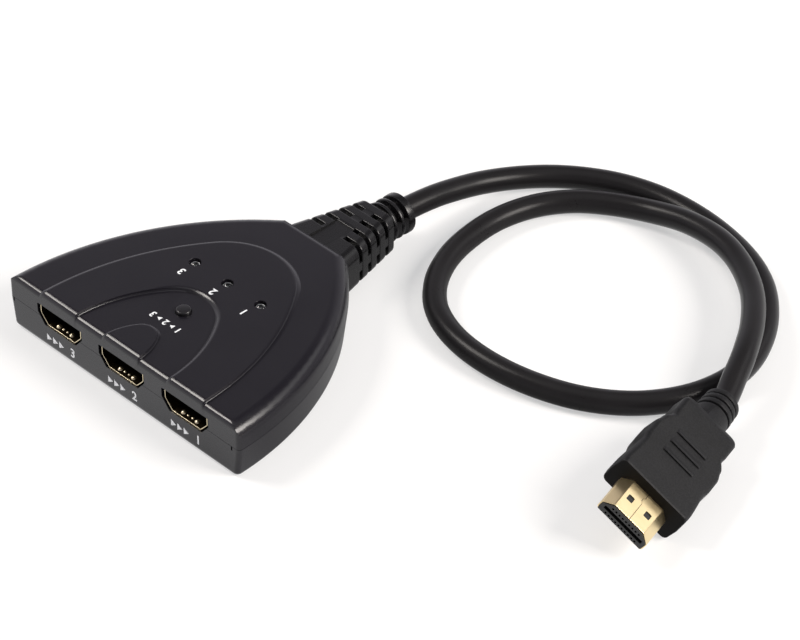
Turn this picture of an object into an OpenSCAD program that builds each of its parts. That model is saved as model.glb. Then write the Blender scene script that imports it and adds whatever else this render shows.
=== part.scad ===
// Three-way video switch box with a captive cable and plug.
// X runs along the socket face, Y from the sockets to the cable, Z up; the box stands on Z = 0.
// Inside the case modules Y counts from the socket face; the case sits centred on the origin.

/* [Case] */
// Width across the front corners
case_w = 81.4; // [76:0.2:90]
// Depth from the socket face to the rear face
case_d = 61.6; // [60:0.2:64]
// Width across the rear face
rear_w = 23.7; // [22:0.1:26]
// Height of the low rim of the lid
case_h = 15.6; // [15:0.2:18]
// Radius of each curved side in plan
side_r = 81.5; // [80:0.5:90]
// Height of the seam between the covers
seam_z = 8.5; // [8:0.1:9]
// Wall thickness of both covers
wall = 1.8; // [1.4:0.1:2.2]
// Thickness of the lid under its low rim
lid_t = 1.6; // [1.2:0.1:2]
// Thickness of the floor
floor_t = 1.6; // [1.2:0.1:2]
// Rounding along the curved sides of the lid
side_fillet = 3.6; // [2.4:0.2:4.6]
// Rounding along the front edge of the lid
front_fillet = 0.8; // [0.4:0.1:1.2]
// Rounding of the upright front corners
corner_r = 1.2; // [0.6:0.1:2]
// Rounding round the base
base_fillet = 1.4; // [0.5:0.1:1.5]
// How far the lower cover draws in towards its base
base_taper = 0.9; // [0.2:0.1:1.1]
// Thickness of the lip that keys the covers together
lip_t = 0.8; // [0.6:0.1:1]
// Depth of that lip below the seam
lip_h = 1.2; // [0.8:0.1:1.6]
// Gap between parts that only slide past each other
slip = 0.1; // [0.05:0.01:0.2]

/* [Lid relief] */
// Height of each step between the arches
step_h = 0.8; // [0.5:0.1:1]
// Half width of the outer arch
arch_w_outer = 28.5; // [27:0.1:30]
// Length of the outer arch
arch_l_outer = 49.4; // [48:0.1:51]
// Nose radius of the outer arch
arch_r_outer = 17.8; // [17:0.1:19]
// Half width of the middle arch
arch_w_middle = 16.2; // [15:0.1:17]
// Length of the middle arch
arch_l_middle = 26.5; // [25.5:0.1:28]
// Nose radius of the middle arch
arch_r_middle = 10.8; // [10:0.1:11.5]
// Half width of the inner arch
arch_w_inner = 6.3; // [5.8:0.1:7]
// Length of the inner arch
arch_l_inner = 10.5; // [10:0.1:11.5]
// Nose radius of the inner arch
arch_r_inner = 4.4; // [4:0.1:4.8]

/* [Sockets] */
// Distance between socket centres
socket_pitch = 22.2; // [20:0.1:24]
// Height of the socket centres
socket_z = 9.2; // [8.8:0.1:9.6]
// Outside width of a socket shell
shell_w = 14.7; // [14.5:0.1:15.2]
// Outside height of a socket shell
shell_h = 5.2; // [5.1:0.05:5.4]
// Width of a socket shell at its narrow lower face
shell_base_w = 9.8; // [9:0.1:11]
// Height of the upright sides of a socket shell
shell_side_h = 2.4; // [2:0.1:3]
// Sheet thickness of the shells
shell_t = 0.25; // [0.2:0.05:0.3]
// Length of a socket shell
shell_l = 11.4; // [10.5:0.1:12]
// How far the shell mouth lies behind the socket face
shell_set_back = 0.35; // [0.2:0.05:0.8]
// Side gap round the shell in its cut-out
cut_gap_x = 0.7; // [0.3:0.05:1]
// Gap above and below the shell in its cut-out
cut_gap_z = 0.1; // [0.05:0.05:0.3]
// Width of the tongue in a socket
tongue_w = 11; // [10.5:0.1:11.2]
// Thickness of the tongue
tongue_t = 1.5; // [1.2:0.1:1.7]
// Distance from the shell mouth to the tongue
tongue_set_back = 3.2; // [2.8:0.1:3.6]
// Length of the block that closes the back of a socket
core_block_l = 3; // [2:0.1:4]
// Distance between neighbouring contacts in a row
contact_pitch = 1; // [0.9:0.05:1.1]
// Width of a contact
contact_w = 0.4; // [0.3:0.05:0.45]
// Thickness of a contact
contact_t = 0.15; // [0.1:0.05:0.2]
// Distance of the spring dimples from the socket centre
dimple_x = 2.35; // [2:0.05:3]
// Distance of the spring dimples behind the shell mouth
dimple_y = 1.4; // [1.2:0.1:2]
// Height of the spring dimples above the shell floor
dimple_h = 0.4; // [0.2:0.05:0.45]

/* [Circuit board] */
// Thickness of the board
board_t = 1.2; // [1:0.1:1.6]
// Gap between the board and the case wall
board_gap = 0.6; // [0.4:0.1:1]
// Gap between the board and the strain relief's flange
board_rear_gap = 2.6; // [1.5:0.1:3.5]
// Side of the square switching chip
chip_w = 10; // [8:0.5:12]
// Thickness of the chips
chip_t = 1.4; // [1:0.1:1.6]
// Gap between the lamp leads and the switching chip
chip_gap = 0.8; // [0.4:0.1:1.2]
// Length of wire laid along the underside of the board
wire_lap = 5.4; // [4:0.1:6]

/* [Button and lamps] */
// Distance of the button from the socket face
button_y = 19.6; // [19:0.1:21]
// Button diameter
button_d = 3.7; // [3.4:0.1:4]
// Height of the button above the recess
button_proud = 0.55; // [0.4:0.05:0.8]
// Travel of the button
button_travel = 0.25; // [0.2:0.05:0.3]
// Gap round the button in the lid
button_gap = 0.2; // [0.15:0.05:0.3]
// Diameter of the button's retaining flange
button_flange_d = 6.2; // [5.6:0.1:7]
// Side of the square key switch
key_w = 6; // [6:0.1:6.4]
// Height of the key switch body
key_h = 2.7; // [2.5:0.1:3]
// Diameter of the key switch plunger
plunger_d = 3.4; // [3:0.1:3.6]
// Height of the plunger above the key switch
plunger_h = 2.1; // [1.8:0.1:2.6]
// Diameter of the snap dome
dome_d = 4.4; // [4:0.1:4.6]
// Crown left in the snap dome when the button is pressed
dome_left = 0.2; // [0.15:0.05:0.25]
// Sheet thickness of the snap dome and the switch cover
spring_t = 0.12; // [0.1:0.01:0.15]
// Distance of the lamps from the socket face
lamp_y = 33.5; // [32:0.1:35]
// Distance between lamps
lamp_pitch = 11.5; // [10:0.1:13]
// Lamp diameter
lamp_d = 3; // [2.8:0.1:3.1]
// Diameter of the lamp holes
lamp_hole_d = 3.3; // [3.2:0.1:3.6]
// Length of a lamp from base to crown
lamp_l = 5.3; // [5:0.1:5.6]
// How far the crown lies below the lid
lamp_recess = 0.4; // [0.2:0.1:0.8]

/* [Fasteners] */
// Distance of the front screws from the socket face
screw_y_front = 17; // [16:0.1:18]
// Distance of the front screws from the centre line
screw_x_front = 31; // [30:0.1:32]
// Distance of the rear screws from the socket face
screw_y_rear = 45.5; // [45:0.1:47]
// Distance of the rear screws from the centre line
screw_x_rear = 16.5; // [16:0.1:17.5]
// Screw shank diameter
screw_d = 2.2; // [2:0.1:2.4]
// Screw head diameter
screw_head_d = 4.2; // [3.8:0.1:4.4]
// Screw head height
screw_head_h = 1.5; // [1.2:0.1:1.8]
// Screw length under the head
screw_l = 8; // [7:0.5:9]
// Depth of the screw seats above the base
screw_seat_z = 2.2; // [2:0.1:2.6]
// Wall round the screws
screw_wall = 1.4; // [1.2:0.1:1.8]
// Height of the lower screw posts
post_z = 4.4; // [4:0.1:5]

/* [Strain relief] */
// Length of the strain relief behind the case
relief_l = 29.2; // [28:0.1:32]
// Width of the strain relief at the case
relief_w = 22; // [20:0.2:23]
// Height of the strain relief at the case
relief_h = 12; // [11:0.2:13]
// Height of the strain relief's axis
relief_z = 8; // [7.6:0.1:8.4]
// Width of the tapered stretch at its thin end
relief_tip_w = 11.4; // [11:0.2:13]
// Height of the tapered stretch at its thin end
relief_tip_h = 11.2; // [10:0.2:11.6]
// Diameter of the end collar
collar_d = 10.8; // [9:0.2:11]
// Number of bending slots on each side
slot_count = 4; // [3:1:5]
// Distance between bending slots
slot_pitch = 3.75; // [3.5:0.05:4]
// Width of a bending slot
slot_w = 1.2; // [0.8:0.1:1.6]
// Depth of the bending slots
slot_depth = 1.1; // [0.8:0.1:1.4]
// Distance from the case to the first slot
slot_start = 6.6; // [6:0.1:8]

/* [Cable and plug] */
// Cable diameter
cable_d = 6; // [5.5:0.1:6.5]
// Width of the plug tip
tip_w = 13.9; // [13.5:0.1:14.2]
// Height of the plug tip
tip_h = 4.45; // [4.3:0.05:4.6]
// Width of the narrow face of the plug tip
tip_top_w = 9.1; // [8.8:0.1:9.6]
// Length of the plug tip
tip_l = 10; // [9:0.1:11.5]
// Length of the tip held inside the grip
tip_hold = 8; // [6:0.5:10]
// Width of the plug grip
grip_w = 19.6; // [18:0.2:21]
// Height of the plug grip
grip_h = 9.3; // [8.6:0.1:10]
// Length of the plug grip
grip_l = 30.4; // [28:0.2:34]
// Width of the rear of the plug grip
grip_rear_w = 16.4; // [15:0.2:17]
// Edge rounding of the plug grip
grip_r = 1.6; // [1:0.1:2.2]
// Height of the grip's middle above the tip's middle
grip_up = 0.35; // [0:0.05:0.6]
// Diameter of the plug's neck
neck_d = 9.2; // [9:0.1:10.4]
// Length of the plug's neck
neck_l = 10.5; // [9:0.5:13]

/* [Hidden] */
$fn = 64;
eps = 0.01;
over = 1;

// Case
front_y = -case_d / 2;
side_draw = (case_w - rear_w) / 2;
side_chord = norm([side_draw, case_d]);
side_rise = sqrt(pow(side_r, 2) - pow(side_chord / 2, 2)) / side_chord;
side_c = side_rise * case_d - (case_w + rear_w) / 4;
side_y = case_d / 2 - side_rise * side_draw;
ring_z = case_h + step_h;
lid_under = case_h - lid_t;
far = 2 * case_w;
pry_t = 0.5;
pry_h = 1.3;
pry_depth = 0.8;

// Sockets and board, from the base up
socket_x = [socket_pitch, 0, -socket_pitch];
board_top = socket_z - shell_h / 2;
board_under = board_top - board_t;
shell_back = shell_set_back + shell_l;
core_block_y = shell_back - core_block_l;
tongue_lift = 2.2;
tongue_base = board_top + tongue_lift;
tongue_front = shell_set_back + tongue_set_back;
contacts_upper = 10;
contacts_lower = 9;
tail_l = 0.6;
tail_gap = 0.3;
dimple_r = 0.7;
leg_w = 1;
leg_out = 0.8;
leg_y = [3.4, 8.8];
leg_gap = 0.15;

// Key switch and button, from the board up
key_top = board_top + key_h;
key_hole_d = plunger_d + 2 * slip;
key_wall = 0.55;
key_well_d = key_w - 2 * key_wall;
plunger_flange_d = key_well_d - 4 * slip;
plunger_flange_h = 0.85;
key_play = 0.05;
dome_h = button_travel + dome_left;
plunger_flange_top = key_top - key_play;
plunger_flange_base = plunger_flange_top - plunger_flange_h;
dome_z = plunger_flange_base - key_play - dome_h - spring_t;
key_cover_t = 2 * spring_t;
key_cover_top = key_top + key_cover_t;
plunger_top = key_cover_top + plunger_h;
button_top = case_h + button_proud;
button_hole_d = button_d + 2 * button_gap;
button_flange_h = 1;
button_flange_gap = 0.3;
button_crown = 0.5;
key_tab_w = 2;
key_tab_h = 1.4;
terminal_x = key_w / 2;
terminal_y = 2;
terminal_w = 0.8;
terminal_l = 1.2;
terminal_t = 0.2;

// Lamps
lamp_x = [lamp_pitch, 0, -lamp_pitch];
lamp_top = ring_z - lamp_recess;
lamp_base = lamp_top - lamp_l;
lamp_rim_d = 3.8;
lamp_rim_h = 1;
lead_w = 0.5;
lead_pitch = 1.27;
lead_out = 0.8;
lead_hole_d = 0.9;

// Strain relief, along Y from the rear face
relief_r = 2.8;
relief_taper_l = slot_start + slot_count * slot_pitch + 1;
relief_neck_w = 13;
relief_neck_h = 6.6;
relief_flange_w = 17;
relief_flange_h = 9;
relief_flange_t = 1.6;
relief_flange_y = case_d - wall - slip - relief_flange_t;
relief_end_y = case_d + relief_l;
spine_w = [7.4, 7.4, 3, 3, 3];
relief_slice_t = 0.02;
panel_w = 6;
panel_l = 11.6;
panel_h = 0.4;
collar_rib = 1.5;
collar_groove = 1.2;
collar_groove_d = 1;
wire_d = 1.2;
wire_count = 6;
wire_pitch = 2;

// Board parts
board_end = relief_flange_y - board_rear_gap;
memory_w = 4;
memory_l = 5;
memory_x = [24, 4, -16];
memory_y = 27;
capacitor_w = 1.2;
capacitor_l = 2;
capacitor_t = 1;
capacitor_x = 4.4;
capacitor_gap = 0.8;
pin_w = 0.3;
pin_l = 0.9;
pin_t = 0.2;
pin_pitch = 0.8;
chip_y = lamp_y + lead_w / 2 + chip_gap + pin_l + chip_w / 2;
standoff_d = 4;
standoff_y = [24, 50];
standoff_x = [26, 8];

// Screws
screw_at = [for (s = [-1, 1]) each [[s * screw_x_front, screw_y_front], [s * screw_x_rear, screw_y_rear]]];
pilot_gap = 0.05;
pilot_room = 1;
boss_d = screw_d + 2 * screw_wall;
post_d = screw_head_d + 2 * slip + 2 * screw_wall;
boss_clear = 0.5;
screw_drive_w = 2;
screw_drive_t = 0.5;

// Plug, lying rolled on one edge
plug_at = [116.1, 22, 9.3];
plug_turn = 16.2;
plug_tilt = -2;
plug_roll = 34.5;
tip_t = 0.3;
tip_side_h = 2.3;
tip_slot_h = 1.7;
tip_slot_w = 11.4;
tip_slot_depth = 7;
tip_slot_z = -0.1;
tip_blade_l = 5.8;
tip_window_w = 1.5;
tip_window_l = 1.6;
tip_window_x = 2.65;
tip_window_y = 4.9;
tip_core_out = 0.4;
row_upper = 1.05;
row_lower = -1.2;
row_hole_w = 0.55;
row_hole_h = 0.5;
row_hole_depth = 0.8;
ridge_l = 9;
ridge_w = 1;
ridge_h = 0.35;
ridge_pitch = 3.5;
ridge_start = 10.8;
grip_belly = 0.2;
grip_dip = 0.4;
grip_lead = 2;
grip_step_y = 10;
grip_belly_y = [12.4, 16.6];
grip_shoulder_y = 19.4;
grip_waist_y = 22.4;
neck_ring = 1.7;
neck_groove = 1.2;
neck_groove_depth = 0.6;

// Cable route from the strain relief to the plug, laid on the surface, in the frame of the whole part
cable_sides = 10;
cable_start = [0, relief_end_y + front_y, relief_z];
cable_end = plug_point([0, grip_l + neck_l, 0]);
route = [cable_start,
    [0.4, 68.6, 7.7], [1, 76, 6.8], [2.6, 85.4, 5.4], [6.2, 94.6, 4.2], [11.4, 102.4, 3.4],
    [18, 108.4, 3], [26.2, 112.8, 3], [36.2, 115.6, 3], [47.2, 116.2, 3], [58.2, 114.8, 3],
    [68.8, 111.6, 3], [77.8, 106.6, 3], [85.6, 99.2, 3], [91.6, 90.4, 3], [95.2, 81.2, 3],
    [96, 71.6, 3], [93.4, 61.4, 3], [87, 51.6, 3], [77.2, 44, 3], [65.2, 39.4, 3],
    [52.4, 37.6, 3], [40.2, 38.8, 3], [29.6, 43.2, 3], [21.8, 50.6, 3], [16.8, 59.8, 3],
    [14.4, 69.6, 3], [14, 80, 3], [16.4, 90, 3], [21.6, 98.4, 3], [29, 104.4, 3.1],
    [38.7, 108.5, 3.9], [50, 109.8, 5.9], [61.8, 108.4, 7.3], [72.3, 104.3, 7.8], [82.5, 96.9, 8.4],
    [91, 87.2, 9.3], [97.3, 77.3, 9.7], [101.1, 69.6, 9], cable_end];
gauge_steps = 6;
gauge_skip = 4 * gauge_steps;

function unit(v) = v / norm(v);
function turn_roll(p) = [p.x * cos(plug_roll) + p.z * sin(plug_roll), p.y,
    p.z * cos(plug_roll) - p.x * sin(plug_roll)];
function turn_pitch(p) = [p.x, p.y * cos(plug_tilt) - p.z * sin(plug_tilt),
    p.y * sin(plug_tilt) + p.z * cos(plug_tilt)];
function turn_yaw(p) = [p.x * cos(plug_turn) - p.y * sin(plug_turn),
    p.x * sin(plug_turn) + p.y * cos(plug_turn), p.z];
function plug_way(p) = turn_yaw(turn_pitch(turn_roll(p)));
function plug_point(p) = plug_at + plug_way(p);

// Places a child so that its Y counts from the socket face
module from_front() {
    translate([0, front_y, 0]) children();
}

// Places a child in the frame of the plug: tip towards -Y, narrow face up
module in_plug() {
    translate(plug_at) rotate([0, 0, plug_turn]) rotate([plug_tilt, 0, 0]) rotate([0, plug_roll, 0])
        children();
}

// Extrudes an XZ outline along Y
module along_y(y0, length) {
    translate([0, y0 + length, 0]) rotate([90, 0, 0]) linear_extrude(length) children();
}

// Extrudes a YZ outline along X, both ways from the centre line
module along_x(length) {
    translate([-length / 2, 0, 0]) rotate([90, 0, 90]) linear_extrude(length) children();
}

// Plan of the case between two arcs, drawn in by an inset
module plan_sharp(inset) {
    intersection() {
        translate([-case_w, inset]) square([far, case_d - 2 * inset]);
        translate([-side_c, side_y]) circle(side_r - inset);
        translate([side_c, side_y]) circle(side_r - inset);
    }
}

// Plan of the case with its upright front corners rounded
module plan_round() {
    corner_x = sqrt(pow(side_r - corner_r, 2) - pow(corner_r - side_y, 2)) - side_c;
    meet_y = side_y + (corner_r - side_y) * side_r / (side_r - corner_r);
    intersection() {
        plan_sharp(0);
        translate([-case_w, meet_y]) square([far, case_d]);
    }
    for (s = [-1, 1]) translate([s * corner_x, corner_r]) circle(corner_r);
    translate([-corner_x, 0]) square([2 * corner_x, meet_y]);
}

// Square block with its far top corner rounded, for profiles
module rounded_top(w, h, r) {
    square([w - r, h]);
    square([w, h - r]);
    translate([w - r, h - r]) circle(r);
}

// Space between the two curved sides, with rounded upper edges
module between_sides(inset, z0, z1, fillet) {
    intersection() {
        translate([-side_c, side_y, z0]) rotate_extrude($fn = 200)
            rounded_top(side_r - inset, z1 - z0, fillet);
        translate([side_c, side_y, z0]) rotate_extrude($fn = 200)
            rounded_top(side_r - inset, z1 - z0, fillet);
    }
}

// Slab from the front face to the rear face, with its top front edge rounded
module front_to_rear(z0, z1, fillet) {
    along_x(far) translate([case_d, z0]) mirror([1, 0]) rounded_top(case_d, z1 - z0, fillet);
}

// Three-arc arch standing on the front edge; its nose is a hair larger so that it crosses the sides cleanly
module arch(half_w, length, nose_r) {
    nose_y = length - nose_r;
    side_x = (pow(nose_y, 2) - pow(half_w - nose_r, 2)) / (2 * (half_w - nose_r));
    bend_y = nose_y * (1 + nose_r / norm([side_x, nose_y]));
    intersection() {
        translate([-side_x, 0]) circle(side_x + half_w, $fn = 160);
        translate([side_x, 0]) circle(side_x + half_w, $fn = 160);
        translate([-half_w, 0]) square([2 * half_w, bend_y]);
    }
    intersection() {
        translate([0, nose_y]) circle(nose_r + eps, $fn = 160);
        translate([-half_w, 0]) square([2 * half_w, length + nose_r]);
    }
}

module outer_arch() {
    arch(arch_w_outer, arch_l_outer, arch_r_outer);
}

module middle_arch() {
    arch(arch_w_middle, arch_l_middle, arch_r_middle);
}

module inner_arch() {
    arch(arch_w_inner, arch_l_inner, arch_r_inner);
}

// Socket outline in XZ about the socket centre: wide above, drawn in below
module socket_outline(w, h, base_w, side_h) {
    polygon([[-w / 2, h / 2], [w / 2, h / 2], [w / 2, h / 2 - side_h], [base_w / 2, -h / 2],
        [-base_w / 2, -h / 2], [-w / 2, h / 2 - side_h]]);
}

module shell_outline(grow_x, grow_z) {
    socket_outline(shell_w + 2 * grow_x, shell_h + 2 * grow_z, shell_base_w + 2 * grow_x,
        shell_side_h + grow_z);
}

// Three cut-outs through the front wall for the sockets
module socket_cuts() {
    for (x = socket_x)
        along_y(-over, wall + 2 * over) translate([x, socket_z]) shell_outline(cut_gap_x, cut_gap_z);
}

// Opening in the rear wall for the neck of the strain relief
module relief_opening() {
    translate([-relief_neck_w / 2 - slip, case_d - wall - over, relief_z - relief_neck_h / 2 - slip])
        cube([relief_neck_w + 2 * slip, wall + 2 * over, relief_neck_h + 2 * slip]);
}

// Lip that hangs from the lid inside the lower cover, along the curved sides only
module key_lip() {
    lip_front = screw_y_front - boss_d;
    intersection() {
        union() {
            translate([0, 0, seam_z]) linear_extrude(lip_h) difference() {
                plan_sharp(wall - eps);
                plan_sharp(wall + slip + lip_t);
            }
            translate([0, 0, seam_z - lip_h]) linear_extrude(2 * lip_h) difference() {
                plan_sharp(wall + slip);
                plan_sharp(wall + slip + lip_t);
            }
        }
        translate([-case_w, lip_front, 0]) cube([far, screw_y_rear - lip_front, case_h]);
    }
}

module top_cover() {
    color([0.13, 0.13, 0.14]) from_front() difference() {
        union() {
            difference() {
                union() {
                    intersection() {
                        translate([0, 0, seam_z]) linear_extrude(case_h - seam_z) plan_round();
                        between_sides(0, 0, case_h, side_fillet);
                        front_to_rear(0, case_h, front_fillet);
                    }
                    intersection() {
                        translate([0, 0, case_h - front_fillet]) linear_extrude(step_h + front_fillet)
                            difference() {
                                outer_arch();
                                difference() {
                                    middle_arch();
                                    inner_arch();
                                }
                            }
                        front_to_rear(0, ring_z, front_fillet);
                    }
                }
                intersection() {
                    translate([0, 0, seam_z - eps]) linear_extrude(lid_under - seam_z + eps) plan_sharp(wall);
                    between_sides(wall, 0, lid_under, max(side_fillet - wall, eps));
                }
            }
            for (p = screw_at)
                translate([p.x, p.y, post_z]) cylinder(d = boss_d, h = lid_under + eps - post_z);
            key_lip();
        }
        for (p = screw_at) translate([p.x, p.y, post_z - over])
            cylinder(d = screw_d + 2 * pilot_gap, h = screw_seat_z + screw_l + pilot_room - post_z + over);
        for (x = lamp_x) translate([x, lamp_y, lid_under - over])
            cylinder(d = lamp_hole_d, h = lid_t + step_h + 2 * over);
        translate([0, button_y, lid_under - over]) cylinder(d = button_hole_d, h = lid_t + step_h + 2 * over);
        socket_cuts();
        relief_opening();
    }
}

// Lower cover outline, drawn in towards the base and rounded there
module base_profile(w) {
    intersection() {
        translate([0, seam_z]) mirror([0, 1]) rounded_top(w - base_taper, seam_z, base_fillet);
        square([w, seam_z]);
    }
    polygon([[0, base_fillet], [w - base_taper, base_fillet], [w, seam_z], [0, seam_z]]);
}

module bottom_cover() {
    color([0.12, 0.12, 0.13]) from_front() difference() {
        union() {
            difference() {
                intersection() {
                    linear_extrude(seam_z) plan_round();
                    translate([-side_c, side_y, 0]) rotate_extrude($fn = 200) base_profile(side_r);
                    translate([side_c, side_y, 0]) rotate_extrude($fn = 200) base_profile(side_r);
                    along_x(far) translate([0, seam_z]) mirror([0, 1])
                        rounded_top(case_d, seam_z, base_fillet);
                    along_x(far) translate([case_d, seam_z]) mirror([0, 1]) mirror([1, 0])
                        rounded_top(case_d, seam_z, base_fillet);
                }
                translate([0, 0, floor_t]) linear_extrude(seam_z) plan_sharp(wall);
            }
            for (p = screw_at) translate([p.x, p.y, 0]) cylinder(d = post_d, h = post_z);
            for (s = [-1, 1], i = [0, 1])
                translate([s * standoff_x[i], standoff_y[i], floor_t - eps])
                    cylinder(d = standoff_d, h = board_under - floor_t + eps);
        }
        for (p = screw_at) {
            translate([p.x, p.y, -over]) cylinder(d = screw_head_d + 2 * slip, h = screw_seat_z + over);
            translate([p.x, p.y, -over]) cylinder(d = screw_d + 2 * slip, h = post_z + 2 * over);
        }
        socket_cuts();
        relief_opening();
        for (s = [-1, 1]) pry_slot(s);
    }
}

// Small pry slot under the seam at a front corner
module pry_slot(side) {
    pry_x = side * (case_w / 2 - corner_r - pry_depth);
    translate([pry_x - pry_t / 2, -over, seam_z - pry_h]) cube([pry_t, over + pry_depth, pry_h + over]);
}

module cover_screws() {
    color([0.45, 0.45, 0.47]) from_front() for (p = screw_at) translate([p.x, p.y, 0]) difference() {
        union() {
            translate([0, 0, screw_seat_z - screw_head_h]) cylinder(d = screw_head_d, h = screw_head_h);
            translate([0, 0, screw_seat_z - eps]) cylinder(d = screw_d, h = screw_l);
        }
        for (a = [0, 90]) rotate([0, 0, a]) translate([-screw_drive_w / 2, -screw_drive_t / 2, 0])
            cube([screw_drive_w, screw_drive_t, screw_seat_z - screw_head_h / 2]);
    }
}

// Places the legs of one socket shell
module at_legs(x) {
    for (s = [-1, 1], y = leg_y)
        translate([x + s * (shell_base_w - leg_w) / 2, shell_set_back + y, 0]) children();
}

module circuit_board() {
    color([0.05, 0.3, 0.14]) from_front() difference() {
        translate([0, 0, board_under]) linear_extrude(board_t) intersection() {
            plan_sharp(wall + board_gap);
            translate([-case_w, 0]) square([far, board_end]);
        }
        for (p = screw_at) translate([p.x, p.y, board_under - over])
            cylinder(d = boss_d + 2 * boss_clear, h = board_t + 2 * over);
        for (x = socket_x) at_legs(x) translate([0, 0, board_top])
            cube([leg_w + 2 * leg_gap, shell_t + 2 * leg_gap, 3 * board_t], center = true);
        for (x = lamp_x, s = [-1, 1]) translate([x + s * lead_pitch, lamp_y, board_under - over])
            cylinder(d = lead_hole_d, h = board_t + 2 * over);
    }
}

module socket_shell(x) {
    color([0.8, 0.65, 0.35]) from_front() {
        translate([x, 0, socket_z]) difference() {
            along_y(shell_set_back, shell_l) shell_outline(0, 0);
            along_y(shell_set_back - over, shell_l + 2 * over) shell_outline(-shell_t, -shell_t);
        }
        for (s = [-1, 1]) spring_dimple(x + s * dimple_x);
        at_legs(x) translate([-leg_w / 2, -shell_t / 2, board_under - leg_out])
            cube([leg_w, shell_t, board_t + leg_out + shell_t]);
    }
}

// Rounded bump on the floor of a socket shell
module spring_dimple(x) {
    translate([x, shell_set_back + dimple_y, board_top]) intersection() {
        translate([0, 0, shell_t + dimple_h - dimple_r]) sphere(dimple_r);
        translate([-dimple_r, -dimple_r, shell_t / 2]) cube(2 * dimple_r);
    }
}

// Outline of a contact in YZ: along the tongue, through the block and down to the board
module contact_profile(z, tail_y) {
    polygon([[tongue_front + contact_t, z], [tail_y, z], [tail_y, board_top], [tail_y + tail_l, board_top],
        [tail_y + tail_l, board_top + contact_t], [tail_y + contact_t, board_top + contact_t],
        [tail_y + contact_t, z + contact_t], [tongue_front + contact_t, z + contact_t]]);
}

// Place of contact i in a row, across the socket or the plug
function contact_x(i, count) = (i - (count - 1) / 2) * contact_pitch;

module contact_row(count, z, tail_y) {
    for (i = [0 : count - 1])
        translate([contact_x(i, count), 0, 0]) along_x(contact_w) contact_profile(z, tail_y);
}

module socket_core(x) {
    fit = shell_t + slip / 2;
    color([0.06, 0.06, 0.06]) from_front() translate([x, 0, 0]) difference() {
        union() {
            translate([0, 0, socket_z]) along_y(core_block_y, core_block_l) shell_outline(-fit, -fit);
            translate([-tongue_w / 2, tongue_front, tongue_base])
                cube([tongue_w, core_block_y - tongue_front + eps, tongue_t]);
        }
        contact_channels(contacts_upper, tongue_base + tongue_t);
        contact_channels(contacts_lower, tongue_base - contact_t);
    }
}

// Channels for a row of contacts through the block at the back of a socket
module contact_channels(count, z) {
    room = slip / 4;
    for (i = [0 : count - 1]) translate([contact_x(i, count) - contact_w / 2 - room, core_block_y - over, z])
        cube([contact_w + 2 * room, core_block_l + 2 * over, contact_t]);
}

module socket_contacts(x) {
    tail_y = shell_back + slip;
    color([0.85, 0.7, 0.35]) from_front() translate([x, 0, 0]) {
        contact_row(contacts_upper, tongue_base + tongue_t, tail_y + tail_l + tail_gap);
        contact_row(contacts_lower, tongue_base - contact_t, tail_y);
    }
}

// Row of chip pins along X
module pin_row(count, y) {
    for (i = [0 : count - 1]) translate([(i - (count - 1) / 2) * pin_pitch - pin_w / 2, y, board_top])
        cube([pin_w, pin_l, pin_t]);
}

module switch_chip() {
    pins = floor(chip_w / pin_pitch) - 1;
    color([0.1, 0.1, 0.11]) from_front() translate([0, chip_y, 0]) {
        translate([-chip_w / 2, -chip_w / 2, board_top]) cube([chip_w, chip_w, chip_t]);
        for (a = [0 : 90 : 270]) rotate([0, 0, a]) pin_row(pins, chip_w / 2 - eps);
    }
}

module memory_chips() {
    pins = floor(memory_w / pin_pitch) - 1;
    color([0.1, 0.1, 0.11]) from_front() for (x = memory_x) translate([x, memory_y, 0]) {
        translate([-memory_w / 2, -memory_l / 2, board_top]) cube([memory_w, memory_l, chip_t]);
        for (a = [0, 180]) rotate([0, 0, a]) pin_row(pins, memory_l / 2 - eps);
    }
}

module chip_capacitors() {
    row_y = shell_back + slip + 2 * tail_l + tail_gap + capacitor_gap;
    color([0.6, 0.5, 0.35]) from_front() for (x = socket_x, s = [-1, 1])
        translate([x + s * capacitor_x - capacitor_w / 2, row_y, board_top])
            cube([capacitor_w, capacitor_l, capacitor_t]);
}

// Places a child on the board at the key switch
module at_key() {
    from_front() translate([0, button_y, 0]) children();
}

module key_base() {
    color([0.08, 0.08, 0.08]) at_key() difference() {
        translate([-key_w / 2, -key_w / 2, board_top]) cube([key_w, key_w, key_h]);
        translate([0, 0, dome_z]) cylinder(d = key_well_d, h = key_h);
    }
}

module key_terminals() {
    color([0.75, 0.75, 0.76]) at_key() for (s = [-1, 1], t = [-1, 1])
        translate([s * (terminal_x + terminal_l / 2), t * terminal_y, board_top + terminal_t / 2])
            cube([terminal_l, terminal_w, terminal_t], center = true);
}

// Snap dome: a shallow cap of sheet resting on the floor of the well
module key_dome() {
    crown_r = (pow(dome_d / 2, 2) + pow(dome_h, 2)) / (2 * dome_h);
    color([0.8, 0.8, 0.8]) at_key() translate([0, 0, dome_z]) intersection() {
        translate([0, 0, dome_h - crown_r]) rotate_extrude() difference() {
            intersection() {
                circle(crown_r + spring_t, $fn = 200);
                square(far);
            }
            circle(crown_r, $fn = 200);
        }
        cylinder(d = dome_d, h = key_h);
    }
}

module key_plunger() {
    color([0.1, 0.1, 0.1]) at_key() {
        translate([0, 0, plunger_flange_base]) cylinder(d = plunger_flange_d, h = plunger_flange_h);
        translate([0, 0, plunger_flange_base]) cylinder(d = plunger_d, h = plunger_top - plunger_flange_base);
    }
}

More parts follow.
